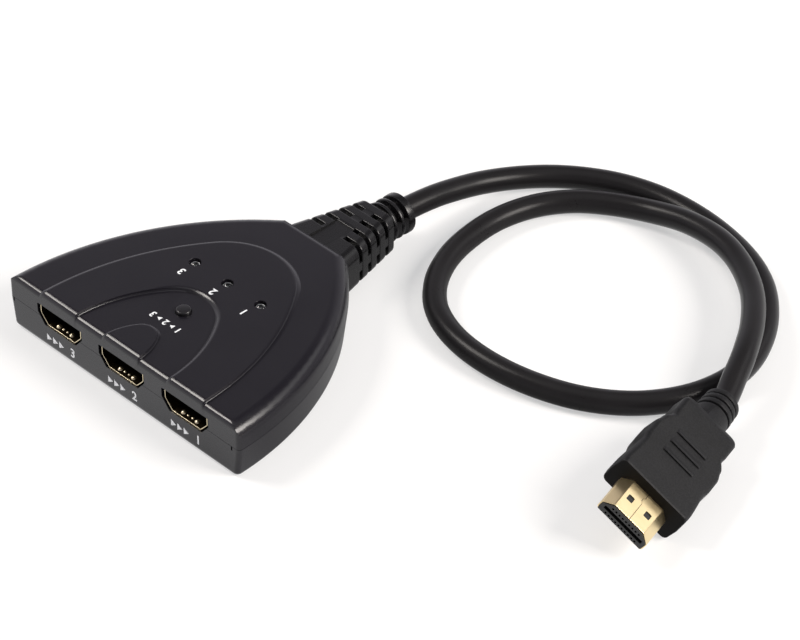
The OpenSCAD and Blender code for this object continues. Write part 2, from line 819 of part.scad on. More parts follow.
module key_cover() {
    color([0.7, 0.7, 0.71]) at_key() {
        difference() {
            union() {
                translate([-key_w / 2, -key_w / 2, key_top]) cube([key_w, key_w, key_cover_t]);
                translate([-key_tab_w / 2, -key_w / 2 - key_cover_t, key_top])
                    cube([key_tab_w, key_w + 2 * key_cover_t, key_cover_t]);
            }
            translate([0, 0, key_top - over]) cylinder(d = key_hole_d, h = key_cover_t + 2 * over);
        }
        for (s = [0, 1]) mirror([0, s, 0]) translate([-key_tab_w / 2, key_w / 2, key_cover_top - key_tab_h])
            cube([key_tab_w, key_cover_t, key_tab_h]);
    }
}

module select_button() {
    flange_top = lid_under - button_flange_gap;
    crown_r = (pow(button_d / 2, 2) + pow(button_crown, 2)) / (2 * button_crown);
    color([0.07, 0.07, 0.08]) at_key() {
        translate([0, 0, plunger_top]) cylinder(d = button_d, h = button_top - button_crown - plunger_top);
        translate([0, 0, flange_top - button_flange_h]) cylinder(d = button_flange_d, h = button_flange_h);
        translate([0, 0, button_top - button_crown - eps]) intersection() {
            translate([0, 0, button_crown - crown_r]) sphere(crown_r, $fn = 96);
            cylinder(d = button_d, h = button_crown + over);
        }
    }
}

module lamp(x) {
    color([0.92, 0.93, 0.95]) from_front() translate([x, lamp_y, 0]) {
        translate([0, 0, lamp_base]) cylinder(d = lamp_rim_d, h = lamp_rim_h);
        translate([0, 0, lamp_base]) cylinder(d = lamp_d, h = lamp_l - lamp_d / 2);
        translate([0, 0, lamp_top - lamp_d / 2]) sphere(d = lamp_d);
    }
}

module lamp_leads() {
    color([0.75, 0.75, 0.76]) from_front() for (x = lamp_x, s = [-1, 1])
        translate([x + s * lead_pitch - lead_w / 2, lamp_y - lead_w / 2, board_under - lead_out])
            cube([lead_w, lead_w, lamp_base - board_under + lead_out]);
}

// Rounded oblong section of the strain relief, one thin slice at a distance behind the case
module relief_slice(y, w, h) {
    along_y(case_d + y, relief_slice_t) translate([0, relief_z]) hull()
        for (sx = [-1, 1], sz = [-1, 1])
            translate([sx * (w / 2 - relief_r), sz * (h / 2 - relief_r)]) circle(relief_r, $fn = 32);
}

// Tapered block of the strain relief, drawn in by an inset
module relief_block(inset) {
    hull() {
        relief_slice(0, relief_w - 2 * inset, relief_h - 2 * inset);
        relief_slice(relief_taper_l, relief_tip_w - 2 * inset, relief_tip_h - 2 * inset);
    }
}

module strain_relief() {
    color([0.1, 0.1, 0.1]) from_front() {
        relief_block(slot_depth);
        intersection() {
            relief_block(0);
            union() {
                translate([-relief_w, case_d, 0]) cube([2 * relief_w, slot_start - slot_w / 2, case_h]);
                for (i = [1 : slot_count])
                    translate([-relief_w, case_d + slot_start + (i - 1) * slot_pitch + slot_w / 2, 0])
                        cube([2 * relief_w, slot_pitch - slot_w, case_h]);
                for (i = [0 : slot_count - 1])
                    translate([-spine_w[i] / 2, case_d + slot_start + (i - 1) * slot_pitch, 0])
                        cube([spine_w[i], 2 * slot_pitch, case_h]);
            }
        }
        translate([-panel_w / 2, case_d, relief_z]) cube([panel_w, panel_l, relief_h / 2 + panel_h]);
        relief_collar();
        translate([-relief_neck_w / 2, case_d - wall - slip, relief_z - relief_neck_h / 2])
            cube([relief_neck_w, wall + slip + eps, relief_neck_h]);
        translate([-relief_flange_w / 2, relief_flange_y, relief_z - relief_flange_h / 2])
            cube([relief_flange_w, relief_flange_t + eps, relief_flange_h]);
    }
}

// Round collar at the thin end, with two grooves
module relief_collar() {
    collar_pitch = collar_rib + collar_groove;
    core_d = collar_d - 2 * collar_groove_d;
    translate([0, case_d, relief_z]) rotate([-90, 0, 0]) {
        translate([0, 0, relief_taper_l - over]) cylinder(d = core_d, h = relief_l - relief_taper_l + over);
        for (i = [0 : 2])
            translate([0, 0, relief_l - collar_rib - i * collar_pitch])
                cylinder(d = collar_d, h = collar_rib);
    }
}

module cable_wires() {
    wire_y = board_end - wire_lap;
    color([0.75, 0.2, 0.15]) from_front() for (i = [0 : wire_count - 1])
        translate([(i - (wire_count - 1) / 2) * wire_pitch, wire_y, board_under - wire_d / 2])
            rotate([-90, 0, 0]) cylinder(d = wire_d, h = relief_flange_y - wire_y);
}

// Tube swept along the route, one ring of points at each route point
module cable_jacket() {
    last = len(route) - 1;
    last_ring = last * cable_sides;
    way = [for (i = [0 : last]) i == 0 ? [0, 1, 0] : i == last ? plug_way([0, -1, 0])
        : unit(route[i + 1] - route[i - 1])];
    side = [for (t = way) unit(cross(t, [0, 0, 1]))];
    points = [for (i = [0 : last], k = [0 : cable_sides - 1]) let (a = 360 * (k + 0.5) / cable_sides)
        route[i] + cable_d / 2 * (cos(a) * side[i] + sin(a) * cross(side[i], way[i]))];
    wall_faces = [for (i = [0 : last - 1], k = [0 : cable_sides - 1])
        let (a = i * cable_sides + k, b = i * cable_sides + (k + 1) % cable_sides)
        each [[a, b + cable_sides, b], [a, a + cable_sides, b + cable_sides]]];
    start_faces = [for (k = [1 : cable_sides - 2]) [0, k, k + 1]];
    end_faces = [for (k = [1 : cable_sides - 2]) [last_ring, last_ring + k + 1, last_ring + k]];
    gauge = [for (i = [0 : last - 1], k = [0 : gauge_steps - 1])
        route[i] + (route[i + 1] - route[i]) * k / gauge_steps];
    gauge_last = len(gauge) - 1;
    echo(least_gap_of_the_cable_to_itself = min([for (i = [0 : gauge_last],
        j = [i + gauge_skip : 1 : gauge_last]) norm(gauge[i] - gauge[j])]) - cable_d);
    color([0.09, 0.09, 0.1]) polyhedron(points, concat(wall_faces, start_faces, end_faces));
}

// Plug tip outline in XZ: narrow above, wide below
module tip_outline(inset) {
    rotate(180) socket_outline(tip_w - 2 * inset, tip_h - 2 * inset, tip_top_w - 2 * inset,
        tip_side_h - inset);
}

// Plan of the plug grip, front edge at Y = 0
module grip_plan() {
    half = grip_w / 2;
    rear = grip_rear_w / 2;
    side = [[half - grip_belly, 0], [half, grip_lead], [half - grip_dip, grip_step_y],
        [half + grip_belly, grip_belly_y[0]], [half + grip_belly, grip_belly_y[1]],
        [half - grip_dip, grip_shoulder_y], [rear - grip_belly, grip_waist_y],
        [rear, grip_waist_y + grip_lead], [rear, grip_l - grip_r], [rear - grip_r, grip_l]];
    last = len(side) - 1;
    polygon(concat(side, [for (i = [0 : last]) [-side[last - i].x, side[last - i].y]]));
}

// Front outline of the plug grip in XZ, with rounded edges
module grip_section(w) {
    translate([-w / 2, -grip_h / 2 + grip_r]) square([w, grip_h - 2 * grip_r]);
    translate([-w / 2 + grip_r, -grip_h / 2]) square([w - 2 * grip_r, grip_h]);
    for (sx = [-1, 1], sz = [-1, 1])
        translate([sx * (w / 2 - grip_r), sz * (grip_h / 2 - grip_r)]) circle(grip_r);
}

module plug_grip() {
    color([0.11, 0.11, 0.12]) in_plug() difference() {
        union() {
            intersection() {
                translate([0, 0, grip_up - grip_h]) linear_extrude(2 * grip_h) grip_plan();
                translate([0, 0, grip_up]) {
                    along_y(0, grip_waist_y) grip_section(grip_w + 2 * grip_belly);
                    along_y(grip_waist_y - eps, grip_l - grip_waist_y + eps) grip_section(grip_rear_w);
                }
            }
            for (i = [0 : 2]) grip_ridge(ridge_start + i * ridge_pitch);
            plug_neck();
        }
        along_y(-over, tip_hold + over) tip_outline(0);
    }
}

// One low ridge across the top of the grip
module grip_ridge(y) {
    top = grip_up + grip_h / 2;
    along_x(ridge_l) polygon([[y, top - ridge_h], [y, top + ridge_h], [y + ridge_w, top],
        [y + ridge_w, top - ridge_h]]);
}

// Ringed neck behind the grip
module plug_neck() {
    rings = floor(neck_l / (neck_ring + neck_groove));
    pitch = neck_l / rings;
    translate([0, grip_l - eps, 0]) rotate([-90, 0, 0]) {
        cylinder(d = neck_d - 2 * neck_groove_depth, h = neck_l + eps);
        for (i = [0 : rings - 1]) translate([0, 0, (i + 1) * pitch - neck_ring + eps])
            cylinder(d = neck_d - i * neck_groove_depth / 2, h = neck_ring);
    }
}

module plug_shell() {
    color([0.83, 0.67, 0.33]) in_plug() difference() {
        along_y(-tip_l + tip_core_out, tip_l - tip_core_out + tip_hold) tip_outline(0);
        along_y(-tip_l - over, tip_l + tip_hold + 2 * over) tip_outline(tip_t);
        for (s = [-1, 1]) translate([s * tip_window_x, -tip_window_y, tip_h / 2])
            cube([tip_window_w, tip_window_l, 3 * tip_t], center = true);
    }
}

module plug_core() {
    color([0.08, 0.08, 0.09]) in_plug() difference() {
        along_y(-tip_l, tip_l + tip_hold) tip_outline(tip_t);
        translate([-tip_slot_w / 2, -tip_l - over, tip_slot_z - tip_slot_h / 2])
            cube([tip_slot_w, tip_slot_depth + over, tip_slot_h]);
        row_holes(contacts_upper, row_lower);
        row_holes(contacts_lower, row_upper);
    }
}

// Row of small contact holes in the face of the plug tip
module row_holes(count, z) {
    for (i = [0 : count - 1])
        translate([contact_x(i, count) - row_hole_w / 2, -tip_l - over, z - row_hole_h / 2])
            cube([row_hole_w, row_hole_depth + over, row_hole_h]);
}

module plug_contacts() {
    color([0.85, 0.7, 0.35]) in_plug() {
        blades(contacts_upper, tip_slot_z - tip_slot_h / 2);
        blades(contacts_lower, tip_slot_z + tip_slot_h / 2 - contact_t);
    }
}

// Row of contact blades on a face of the slot in the plug tip
module blades(count, z) {
    for (i = [0 : count - 1])
        translate([contact_x(i, count) - contact_w / 2, -tip_l + tip_slot_depth - tip_blade_l, z])
            cube([contact_w, tip_blade_l, contact_t]);
}

top_cover();
bottom_cover();
cover_screws();
circuit_board();
socket_shell(socket_x[0]);  // socket_shell_1
socket_shell(socket_x[1]);  // socket_shell_2
socket_shell(socket_x[2]);  // socket_shell_3
socket_core(socket_x[0]);  // socket_core_1
socket_core(socket_x[1]);  // socket_core_2
socket_core(socket_x[2]);  // socket_core_3
socket_contacts(socket_x[0]);  // socket_contacts_1
socket_contacts(socket_x[1]);  // socket_contacts_2
socket_contacts(socket_x[2]);  // socket_contacts_3
switch_chip();
memory_chips();
chip_capacitors();
key_base();
key_terminals();
key_dome();
key_plunger();
key_cover();
select_button();
lamp(lamp_x[0]);  // lamp_1
lamp(lamp_x[1]);  // lamp_2
lamp(lamp_x[2]);  // lamp_3
lamp_leads();
strain_relief();
cable_wires();
cable_jacket();
plug_grip();
plug_shell();
plug_core();
plug_contacts();
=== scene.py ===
import math

import bmesh
import bpy
from mathutils import Matrix, Quaternion, Vector
from mathutils.geometry import delaunay_2d_cdt


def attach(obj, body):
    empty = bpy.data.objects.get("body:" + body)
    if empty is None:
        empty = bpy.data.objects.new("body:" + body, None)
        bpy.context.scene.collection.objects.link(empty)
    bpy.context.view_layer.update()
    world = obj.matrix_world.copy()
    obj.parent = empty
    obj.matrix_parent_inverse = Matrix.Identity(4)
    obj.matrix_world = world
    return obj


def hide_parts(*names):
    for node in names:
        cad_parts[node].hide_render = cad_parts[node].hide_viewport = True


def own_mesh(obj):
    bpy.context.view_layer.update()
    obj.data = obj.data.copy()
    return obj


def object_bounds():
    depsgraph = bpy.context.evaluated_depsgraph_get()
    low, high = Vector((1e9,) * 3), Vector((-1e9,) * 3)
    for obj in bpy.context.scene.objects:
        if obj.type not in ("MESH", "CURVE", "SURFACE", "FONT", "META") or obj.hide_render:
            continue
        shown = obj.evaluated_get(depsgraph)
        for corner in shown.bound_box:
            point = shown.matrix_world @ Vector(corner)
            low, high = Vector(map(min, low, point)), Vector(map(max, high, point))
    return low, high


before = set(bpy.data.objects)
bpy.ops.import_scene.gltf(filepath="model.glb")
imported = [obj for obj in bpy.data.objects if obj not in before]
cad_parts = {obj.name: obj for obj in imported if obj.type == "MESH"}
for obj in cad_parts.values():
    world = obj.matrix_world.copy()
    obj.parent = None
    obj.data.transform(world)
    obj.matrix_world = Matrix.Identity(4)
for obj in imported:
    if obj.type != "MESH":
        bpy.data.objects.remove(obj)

cadLow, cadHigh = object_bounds()
scene = bpy.context.scene
scene.view_settings.view_transform = "Standard"
mm = 0.001
frontY = -30.8  # socket face in the part's frame; case sizes count y from it
print("frame loaded:", len(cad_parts), "nodes")


# Camera, matched to the photo, and the cable as it lies there.
camera = dict(lens=162, sensor=36, clip=(0.05, 20), at=(511.06, -440.64, 533.68),
              look=(-0.562815, 0.551102, -0.616074), roll=0.0033)
cameraData = bpy.data.cameras.new("camera")
cameraData.lens, cameraData.sensor_width = camera["lens"], camera["sensor"]
cameraData.sensor_fit = "HORIZONTAL"
cameraData.clip_start, cameraData.clip_end = camera["clip"]
cameraObject = bpy.data.objects.new("camera", cameraData)
cameraObject.location = Vector(camera["at"]) * mm
cameraObject.rotation_mode = "QUATERNION"
cameraObject.rotation_quaternion = (Vector(camera["look"]).to_track_quat("-Z", "Y")
                                    @ Quaternion((0, 0, 1), camera["roll"]))
scene.collection.objects.link(cameraObject)
scene.camera = cameraObject

cable = dict(diameter=6, length=0.414, perSpan=6, sides=7, lead=17, route=[
    (0, 60, 8), (0.4, 68.6, 7.7), (1, 76, 6.8), (2.6, 85.4, 5.4), (6.2, 94.6, 4.2), (11.4, 102.4, 3.4),
    (18, 108.4, 3), (26.2, 112.8, 3), (36.2, 115.6, 3), (47.2, 116.2, 3), (58.2, 114.8, 3),
    (68.8, 111.6, 3), (77.8, 106.6, 3), (85.6, 99.2, 3), (91.6, 90.4, 3), (95.2, 81.2, 3),
    (96, 71.6, 3), (93.4, 61.4, 3), (87, 51.6, 3), (77.2, 44, 3), (65.2, 39.4, 3),
    (52.4, 37.6, 3), (40.2, 38.8, 3), (29.6, 43.2, 3), (21.8, 50.6, 3), (16.8, 59.8, 3),
    (14.4, 69.6, 3), (14, 80, 3), (16.4, 90, 3), (21.6, 98.4, 3), (29, 104.4, 3.1),
    (38.7, 108.5, 3.9), (50, 109.8, 5.9), (61.8, 108.4, 7.3), (72.3, 104.3, 7.8), (82.5, 96.9, 8.4),
    (91, 87.2, 9.3), (97.3, 77.3, 9.7), (101.1, 69.6, 9), (104.696, 61.252, 7.873)])
plugSpot = dict(at=(116.1, 22, 9.3), turn=16.2, tilt=-2, roll=34.5)
plugMatrix = (Matrix.Translation(plugSpot["at"]) @ Matrix.Rotation(math.radians(plugSpot["turn"]), 4, "Z")
              @ Matrix.Rotation(math.radians(plugSpot["tilt"]), 4, "X")
              @ Matrix.Rotation(math.radians(plugSpot["roll"]), 4, "Y"))


def smoothRoute():  # Catmull-Rom through the route, straight out of both ends
    knots, perSpan, lead = [Vector(p) for p in cable["route"]], cable["perSpan"], cable["lead"]
    into = plugMatrix.to_3x3() @ Vector((0, -1, 0))
    knots = [knots[1] - Vector((0, lead, 0)), *knots, knots[-2] + into * lead]
    line = []
    for i in range(1, len(knots) - 2):
        a, b, c, d = knots[i - 1:i + 3]
        for k in range(perSpan):
            t = k / perSpan
            line.append(0.5 * (2 * b + (c - a) * t + (2 * a - 5 * b + 4 * c - d) * t * t
                               + (3 * b - 3 * c + d - a) * t ** 3))
    return line + [knots[-2]]


cableCurve = bpy.data.curves.new("cable", "CURVE")
cableCurve.dimensions, cableCurve.bevel_depth = "3D", cable["diameter"] / 2 * mm
cableCurve.bevel_resolution, cableCurve.use_fill_caps = cable["sides"], True
cableLine = smoothRoute()
spline = cableCurve.splines.new("POLY")
spline.points.add(len(cableLine) - 1)
for point, place in zip(spline.points, cableLine):
    point.co = (*(place * mm), 1)
spline.use_smooth = True
cablePiece = bpy.data.objects.new("cable", cableCurve)
scene.collection.objects.link(cablePiece)
print("cable laid")


# Shader sums.
def feed(socket, value):
    if isinstance(value, Wire):
        socket.id_data.links.new(value.socket, socket)
    else:
        socket.default_value = value


class Wire:  # one output socket, with Math nodes behind the operators
    def __init__(self, socket):
        self.socket = socket

    def math(self, kind, first, second):
        made = self.socket.id_data.nodes.new("ShaderNodeMath")
        made.operation = kind
        feed(made.inputs[0], first)
        feed(made.inputs[1], second)
        return Wire(made.outputs[0])

    def __add__(self, other):
        return self.math("ADD", self, other)

    def __radd__(self, other):
        return self.math("ADD", other, self)

    def __sub__(self, other):
        return self.math("SUBTRACT", self, other)

    def __rsub__(self, other):
        return self.math("SUBTRACT", other, self)

    def __mul__(self, other):
        return self.math("MULTIPLY", self, other)

    def __rmul__(self, other):
        return self.math("MULTIPLY", other, self)


class Patch:  # one node tree
    def __init__(self, tree):
        self.tree = tree

    def node(self, kind, settings=None, sockets=None, out=0):
        made = self.tree.nodes.new("ShaderNode" + kind)
        for key, value in (settings or {}).items():
            if key == "stops":
                while len(made.color_ramp.elements) < len(value):
                    made.color_ramp.elements.new(0.5)
                for stop, (place, colour) in zip(made.color_ramp.elements, value):
                    stop.position, stop.color = place, colour
            else:
                setattr(made, key, value)
        for key, value in (sockets or {}).items():
            feed(made.inputs[key], value)
        return Wire(made.outputs[out])


class Finish(Patch):  # one material and its nodes
    def __init__(self, name, **constants):
        self.material = bpy.data.materials.new(name)
        self.material.use_nodes = True
        super().__init__(self.material.node_tree)
        self.shader = self.tree.nodes["Principled BSDF"]
        for key, value in constants.items():
            self.shader.inputs[key.replace("_", " ")].default_value = value

    def where(self):
        return self.node("TexCoord", out="Object")

    def noise(self, size, detail=3, rough=0.5, stretch=None):  # size of a feature in millimetres
        at = self.where()
        if stretch:
            at = self.node("Mapping", sockets={"Vector": at, "Scale": stretch})
        return self.node("TexNoise", sockets={"Vector": at, "Scale": 1 / (size * mm), "Detail": detail,
                                              "Roughness": rough}, out="Fac")

    def mix(self, factor, first, second):
        return self.node("Mix", {"data_type": "RGBA"}, {0: factor, 6: first, 7: second}, out=2)

    def bump(self, height, depth, strength):  # depth in millimetres
        return self.node("Bump", sockets={"Height": height, "Distance": depth * mm, "Strength": strength})

    def use(self, **wires):
        for key, value in wires.items():
            feed(self.shader.inputs[key.replace("_", " ")], value)
        return self.material


def grey(level, warm=0.0):
    return (level * (1 + warm), level, level * (1 - warm), 1)


# Mesh helpers; everything is drawn in millimetres.
def millimetreMesh(name, build):
    mesh = bpy.data.meshes.new(name)
    bmesh.ops.recalc_face_normals(build, faces=build.faces)
    build.to_mesh(mesh)
    build.free()
    return mesh


def placed(name, mesh):
    piece = bpy.data.objects.new(name, mesh)
    scene.collection.objects.link(piece)
    return piece


def loft(build, rings, closed=False):  # skins rings of equal count; closed joins last to first
    rows = [[build.verts.new(p) for p in ring] for ring in rings]
    pairs = list(zip(rows, rows[1:])) + ([(rows[-1], rows[0])] if closed else [])
    for low, high in pairs:
        for i in range(len(low)):
            j = (i + 1) % len(low)
            build.faces.new((low[i], low[j], high[j], high[i]))
    if not closed:
        build.faces.new(rows[0][::-1])
        build.faces.new(rows[-1])


def turned(build, profile, sides, centre, axis="Z"):  # lathe of (radius, height), capped at both ends
    rings = []
    for radius, height in profile:
        ring = []
        for k in range(sides):
            a = 2 * math.pi * k / sides
            p = (radius * math.cos(a), radius * math.sin(a), height)
            p = p if axis == "Z" else (p[0], p[2], -p[1])
            ring.append(Vector(p) + Vector(centre))
        rings.append(ring)
    loft(build, rings)


def block(build, low, high):
    (x0, y0, z0), (x1, y1, z1) = low, high
    loft(build, [[(x0, y0, z), (x1, y0, z), (x1, y1, z), (x0, y1, z)] for z in (z0, z1)])


def prismUp(build, outline, z0, z1):
    loft(build, [[(x, y, z) for x, y in outline] for z in (z0, z1)])


def prismAlong(build, outline, y0, y1):
    loft(build, [[(x, y, z) for x, z in outline] for y in (y0, y1)])


def carve(piece, build, kind="DIFFERENCE"):  # boolean with a mesh that goes away again
    tool = placed("tool", millimetreMesh("tool", build))
    step = piece.modifiers.new("carve", "BOOLEAN")
    step.solver, step.operation, step.object = "EXACT", kind, tool
    graph = bpy.context.evaluated_depsgraph_get()
    made = bpy.data.meshes.new_from_object(piece.evaluated_get(graph))
    piece.modifiers.clear()
    piece.data = made
    bpy.data.objects.remove(tool)


caseAt = Matrix.Translation((0, frontY, 0))


def finished(piece, material, body="case", stands=(), sharp=35, matrix=caseAt):
    mesh = piece.data
    mesh.transform(Matrix.Scale(mm, 4) @ matrix)
    mesh.materials.clear()
    mesh.materials.append(material)
    mesh.shade_smooth()
    mesh.set_sharp_from_angle(angle=math.radians(sharp))
    weight = piece.modifiers.new("even", "WEIGHTED_NORMAL")
    weight.keep_sharp = True
    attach(piece, body)
    if stands:
        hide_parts(*stands)
    return piece


def rounded(corners, radius, steps=5):  # closed outline with every corner rounded
    made = []
    count = len(corners)
    for i, here in enumerate(corners):
        p, a, b = Vector(here), Vector(corners[i - 1]), Vector(corners[(i + 1) % count])
        u, v = (a - p).normalized(), (b - p).normalized()
        half = u.angle(v) / 2
        r = min(radius, 0.45 * min((a - p).length, (b - p).length) * math.tan(half))
        centre = p + (u + v).normalized() * (r / math.sin(half))
        start = p + u * (r / math.tan(half)) - centre
        end = p + v * (r / math.tan(half)) - centre
        for k in range(steps + 1):
            t = k / steps
            made.append(tuple(centre + (start * (1 - t) + end * t).normalized() * r))
    return made


# Finishes, and the CAD nodes that take them.
def plasticFinish():  # satin moulded charcoal, very fine grain
    look = Finish("casePlastic", IOR=1.46)
    cloud, grain = look.noise(14, 4), look.noise(0.32, 2)
    tint = look.mix(cloud, (0.0074, 0.0066, 0.0096, 1), (0.0094, 0.0084, 0.0118, 1))
    return look.use(Base_Color=tint, Roughness=0.2 + 0.05 * cloud + 0.05 * grain,
                    Normal=look.bump(grain, 0.003, 0.4))


def rubberFinish(name, dark, light, rough, depth, size, shine, speck=0.5):  # moulded soft plastic
    look = Finish(name, IOR=1.47, Specular_IOR_Level=shine)
    cloud, grain = look.noise(9, 4), look.noise(size, 3, 0.6)
    tint = look.mix(cloud + speck * (grain - 0.5), dark, light)
    return look.use(Base_Color=tint, Roughness=rough + 0.1 * cloud + 0.1 * grain,
                    Normal=look.bump(grain, depth, 0.6))


def giltFinish(name, colour, worn, rough):
    look = Finish(name, Metallic=1.0)
    streak, cloud = look.noise(0.6, 2, 0.5, (1, 0.12, 1)), look.noise(3, 3)
    tint = look.mix(cloud, colour, worn)
    return look.use(Base_Color=tint, Roughness=rough + 0.06 * streak + 0.05 * cloud,
                    Normal=look.bump(streak, 0.0012, 0.4))


def plainFinish(name, colour, other, rough, size=1.5, metal=0.0, depth=0.004):
    look = Finish(name, Metallic=metal)
    cloud = look.noise(size, 4)
    return look.use(Base_Color=look.mix(cloud, colour, other), Roughness=rough + 0.12 * cloud,
                    Normal=look.bump(cloud, depth, 0.5))


def boardFinish():  # green mask over copper runs
    look = Finish("boardMask", Coat_Weight=0.4)
    runs = look.node("TexBrick", {"offset": 0.37, "squash": 1.0},
                     {"Vector": look.where(), "Scale": 260.0, "Mortar Size": 0.03}, out="Fac")
    cloud = look.noise(4, 3)
    mask = look.mix(runs, (0.004, 0.05, 0.018, 1), (0.012, 0.11, 0.04, 1))
    return look.use(Base_Color=look.mix(0.4 * cloud, mask, (0.006, 0.06, 0.02, 1)),
                    Roughness=0.28 + 0.12 * cloud, Normal=look.bump(runs, 0.03, 0.5))


def lampFinish():  # clear moulded lamp
    look = Finish("lampClear", Transmission_Weight=1.0, IOR=1.5)
    cloud = look.noise(0.8, 3)
    return look.use(Base_Color=look.mix(cloud, (0.62, 0.64, 0.67, 1), (0.72, 0.74, 0.76, 1)),
                    Roughness=0.02 + 0.03 * cloud)


caseLook = plasticFinish()
reliefLook = rubberFinish("reliefRubber", (0.0052, 0.005, 0.0057, 1), (0.007, 0.0067, 0.0077, 1),
                          rough=0.17, depth=0.006, size=0.3, shine=0.38)
gripLook = rubberFinish("gripRubber", (0.0032, 0.0032, 0.0037, 1), (0.0104, 0.0104, 0.0116, 1),
                        rough=0.4, depth=0.04, size=0.36, shine=0.25, speck=4.0)
# painted shade: a darker copy of the grip rubber, also more matte, for the plug's front face
gripFrontPaintedShadeLook = rubberFinish("gripFrontPaintedShade", (0.0026, 0.0025, 0.0026, 1), (0.0042, 0.004, 0.0042, 1),
                             rough=0.5, depth=0.01, size=0.42, shine=0.12)
cableLook = rubberFinish("cableJacket", (0.0108, 0.0102, 0.011, 1), (0.0142, 0.0134, 0.0144, 1),
                         rough=0.2, depth=0.005, size=0.4, shine=0.15)
buttonLook = rubberFinish("buttonPlastic", (0.0068, 0.0064, 0.0076, 1), (0.0086, 0.008, 0.0098, 1),
                          rough=0.2, depth=0.003, size=0.3, shine=0.5)
giltLook = giltFinish("giltSheet", (0.88, 0.69, 0.38, 1), (0.94, 0.78, 0.48, 1), rough=0.26)
# socket sheet in two copies: the paler gilt on the lips and dimples is partly a painted highlight, and the
# dark copy is painted shade inside the sockets
socketGiltAndHighlightLook = giltFinish("socketGiltAndHighlight", (0.9, 0.76, 0.5, 1), (0.96, 0.86, 0.64, 1), rough=0.26)
socketPaintedShadeLook = giltFinish("socketPaintedShade", (0.05, 0.036, 0.018, 1), (0.08, 0.058, 0.03, 1), rough=0.3)
contactLook = giltFinish("contactGilt", (0.85, 0.62, 0.25, 1), (0.92, 0.72, 0.36, 1), rough=0.12)
insulatorLook = plainFinish("insulatorBlack", grey(0.006), grey(0.01), rough=0.34)
tinLook = plainFinish("tinPlate", grey(0.62, 0.01), grey(0.74, 0.01), rough=0.2, size=2, metal=1.0)
screwLook = plainFinish("screwZinc", grey(0.5, 0.01), grey(0.62, 0.01), rough=0.28, size=1, metal=1.0)
chipLook = plainFinish("chipEpoxy", grey(0.012), grey(0.02), rough=0.42, size=0.4)
capacitorLook = plainFinish("capacitorCeramic", (0.36, 0.25, 0.14, 1), (0.44, 0.32, 0.19, 1),
                            rough=0.35, size=0.6)
wireLook = plainFinish("wireSkin", (0.5, 0.03, 0.02, 1), (0.6, 0.05, 0.03, 1), rough=0.35)
cupLook = plainFinish("lampCup", grey(0.34), grey(0.46), rough=0.4, size=0.6, metal=0.5)
boardLook, lampLook = boardFinish(), lampFinish()
printLook = plainFinish("whitePrint", grey(0.72, -0.03), grey(0.82, -0.03), rough=0.5, size=0.5, depth=0.002)
nodeLooks = {
    "cover_screws": screwLook, "circuit_board": boardLook, "switch_chip": chipLook, "memory_chips": chipLook,
    "chip_capacitors": capacitorLook, "key_base": insulatorLook, "key_terminals": tinLook,
    "key_plunger": insulatorLook, "key_cover": tinLook, "lamp_leads": tinLook, "cable_wires": wireLook,
    "plug_contacts": contactLook}
for n in "123":
    nodeLooks["socket_core_" + n], nodeLooks["socket_contacts_" + n] = insulatorLook, contactLook
for node, look in nodeLooks.items():
    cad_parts[node].data.materials.clear()
    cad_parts[node].data.materials.append(look)
print("finishes made")


# Case: lid with three arches, base with screw posts.
plan = dict(width=81.4, rear=23.7, depth=61.6, sideRadius=81.5, arc=44, frontCorner=1.2, rearCorner=3,
            cornerSteps=(6, 8))
sideDraw = (plan["width"] - plan["rear"]) / 2
sideChord = math.hypot(sideDraw, plan["depth"])
sideRise = math.sqrt(plan["sideRadius"] ** 2 - sideChord ** 2 / 4) / sideChord
plan["sideCentre"] = sideRise * plan["depth"] - (plan["width"] + plan["rear"]) / 4
plan["sideY"] = plan["depth"] / 2 - sideRise * sideDraw
seam = dict(z=8.5, gap=0.1, lip=0.45, nearSide=1.2, nearEnd=1)
inside = dict(wall=1.8, lid=14, floor=1.6, corners=(0.25, 0.8))


def planOutline(sideInset, endInset):  # plan of the case, from the front right corner round
    depth, sideY, sideC = plan["depth"], plan["sideY"], plan["sideCentre"]
    radius = plan["sideRadius"] - sideInset
    front, rear, arc = plan["frontCorner"], plan["rearCorner"], plan["arc"]
    frontSteps, rearSteps = plan["cornerSteps"]
    if endInset >= inside["wall"]:
        front, rear = inside["corners"]
    frontAt, rearAt = endInset + front, depth - endInset - rear
    frontX = math.sqrt((radius - front) ** 2 - (frontAt - sideY) ** 2) - sideC
    rearX = math.sqrt((radius - rear) ** 2 - (rearAt - sideY) ** 2) - sideC
    a = math.atan2(frontAt - sideY, frontX + sideC)
    b = math.atan2(rearAt - sideY, rearX + sideC)
    half = []
    for k in range(frontSteps + 1):
        t = -math.pi / 2 + (a + math.pi / 2) * k / frontSteps
        half.append((frontX + front * math.cos(t), frontAt + front * math.sin(t)))
    for k in range(1, arc):
        t = a + (b - a) * k / arc
        half.append((radius * math.cos(t) - sideC, radius * math.sin(t) + sideY))
    for k in range(rearSteps + 1):
        t = b + (math.pi / 2 - b) * k / rearSteps
        half.append((rearX + rear * math.cos(t), rearAt + rear * math.sin(t)))
    return half + [(-x, y) for x, y in reversed(half)]


socketCut = dict(pitch=22.2, z=9.2, w=16.1, h=5.4, base=11.2, side=2.5, corner=0.35)


def socketOutline(w, h, base, side, x=0, z=0, flip=1):
    points = [(-w / 2, h / 2), (w / 2, h / 2), (w / 2, h / 2 - side), (base / 2, -h / 2), (-base / 2, -h / 2),
              (-w / 2, h / 2 - side)]
    return [(x + flip * px, z + flip * pz) for px, pz in points]


def socketCuts(build):
    for i in (-1, 0, 1):
        outline = socketOutline(socketCut["w"], socketCut["h"], socketCut["base"], socketCut["side"],
                                i * socketCut["pitch"], socketCut["z"])
        prismAlong(build, rounded(outline, socketCut["corner"], 3), -1, inside["wall"] + 1)


reliefHole = dict(w=13.2, low=4.6, high=11.4, deep=2.8)


def reliefCut(build):
    block(build, (-reliefHole["w"] / 2, plan["depth"] - reliefHole["deep"], reliefHole["low"]),
          (reliefHole["w"] / 2, plan["depth"] + 1, reliefHole["high"]))


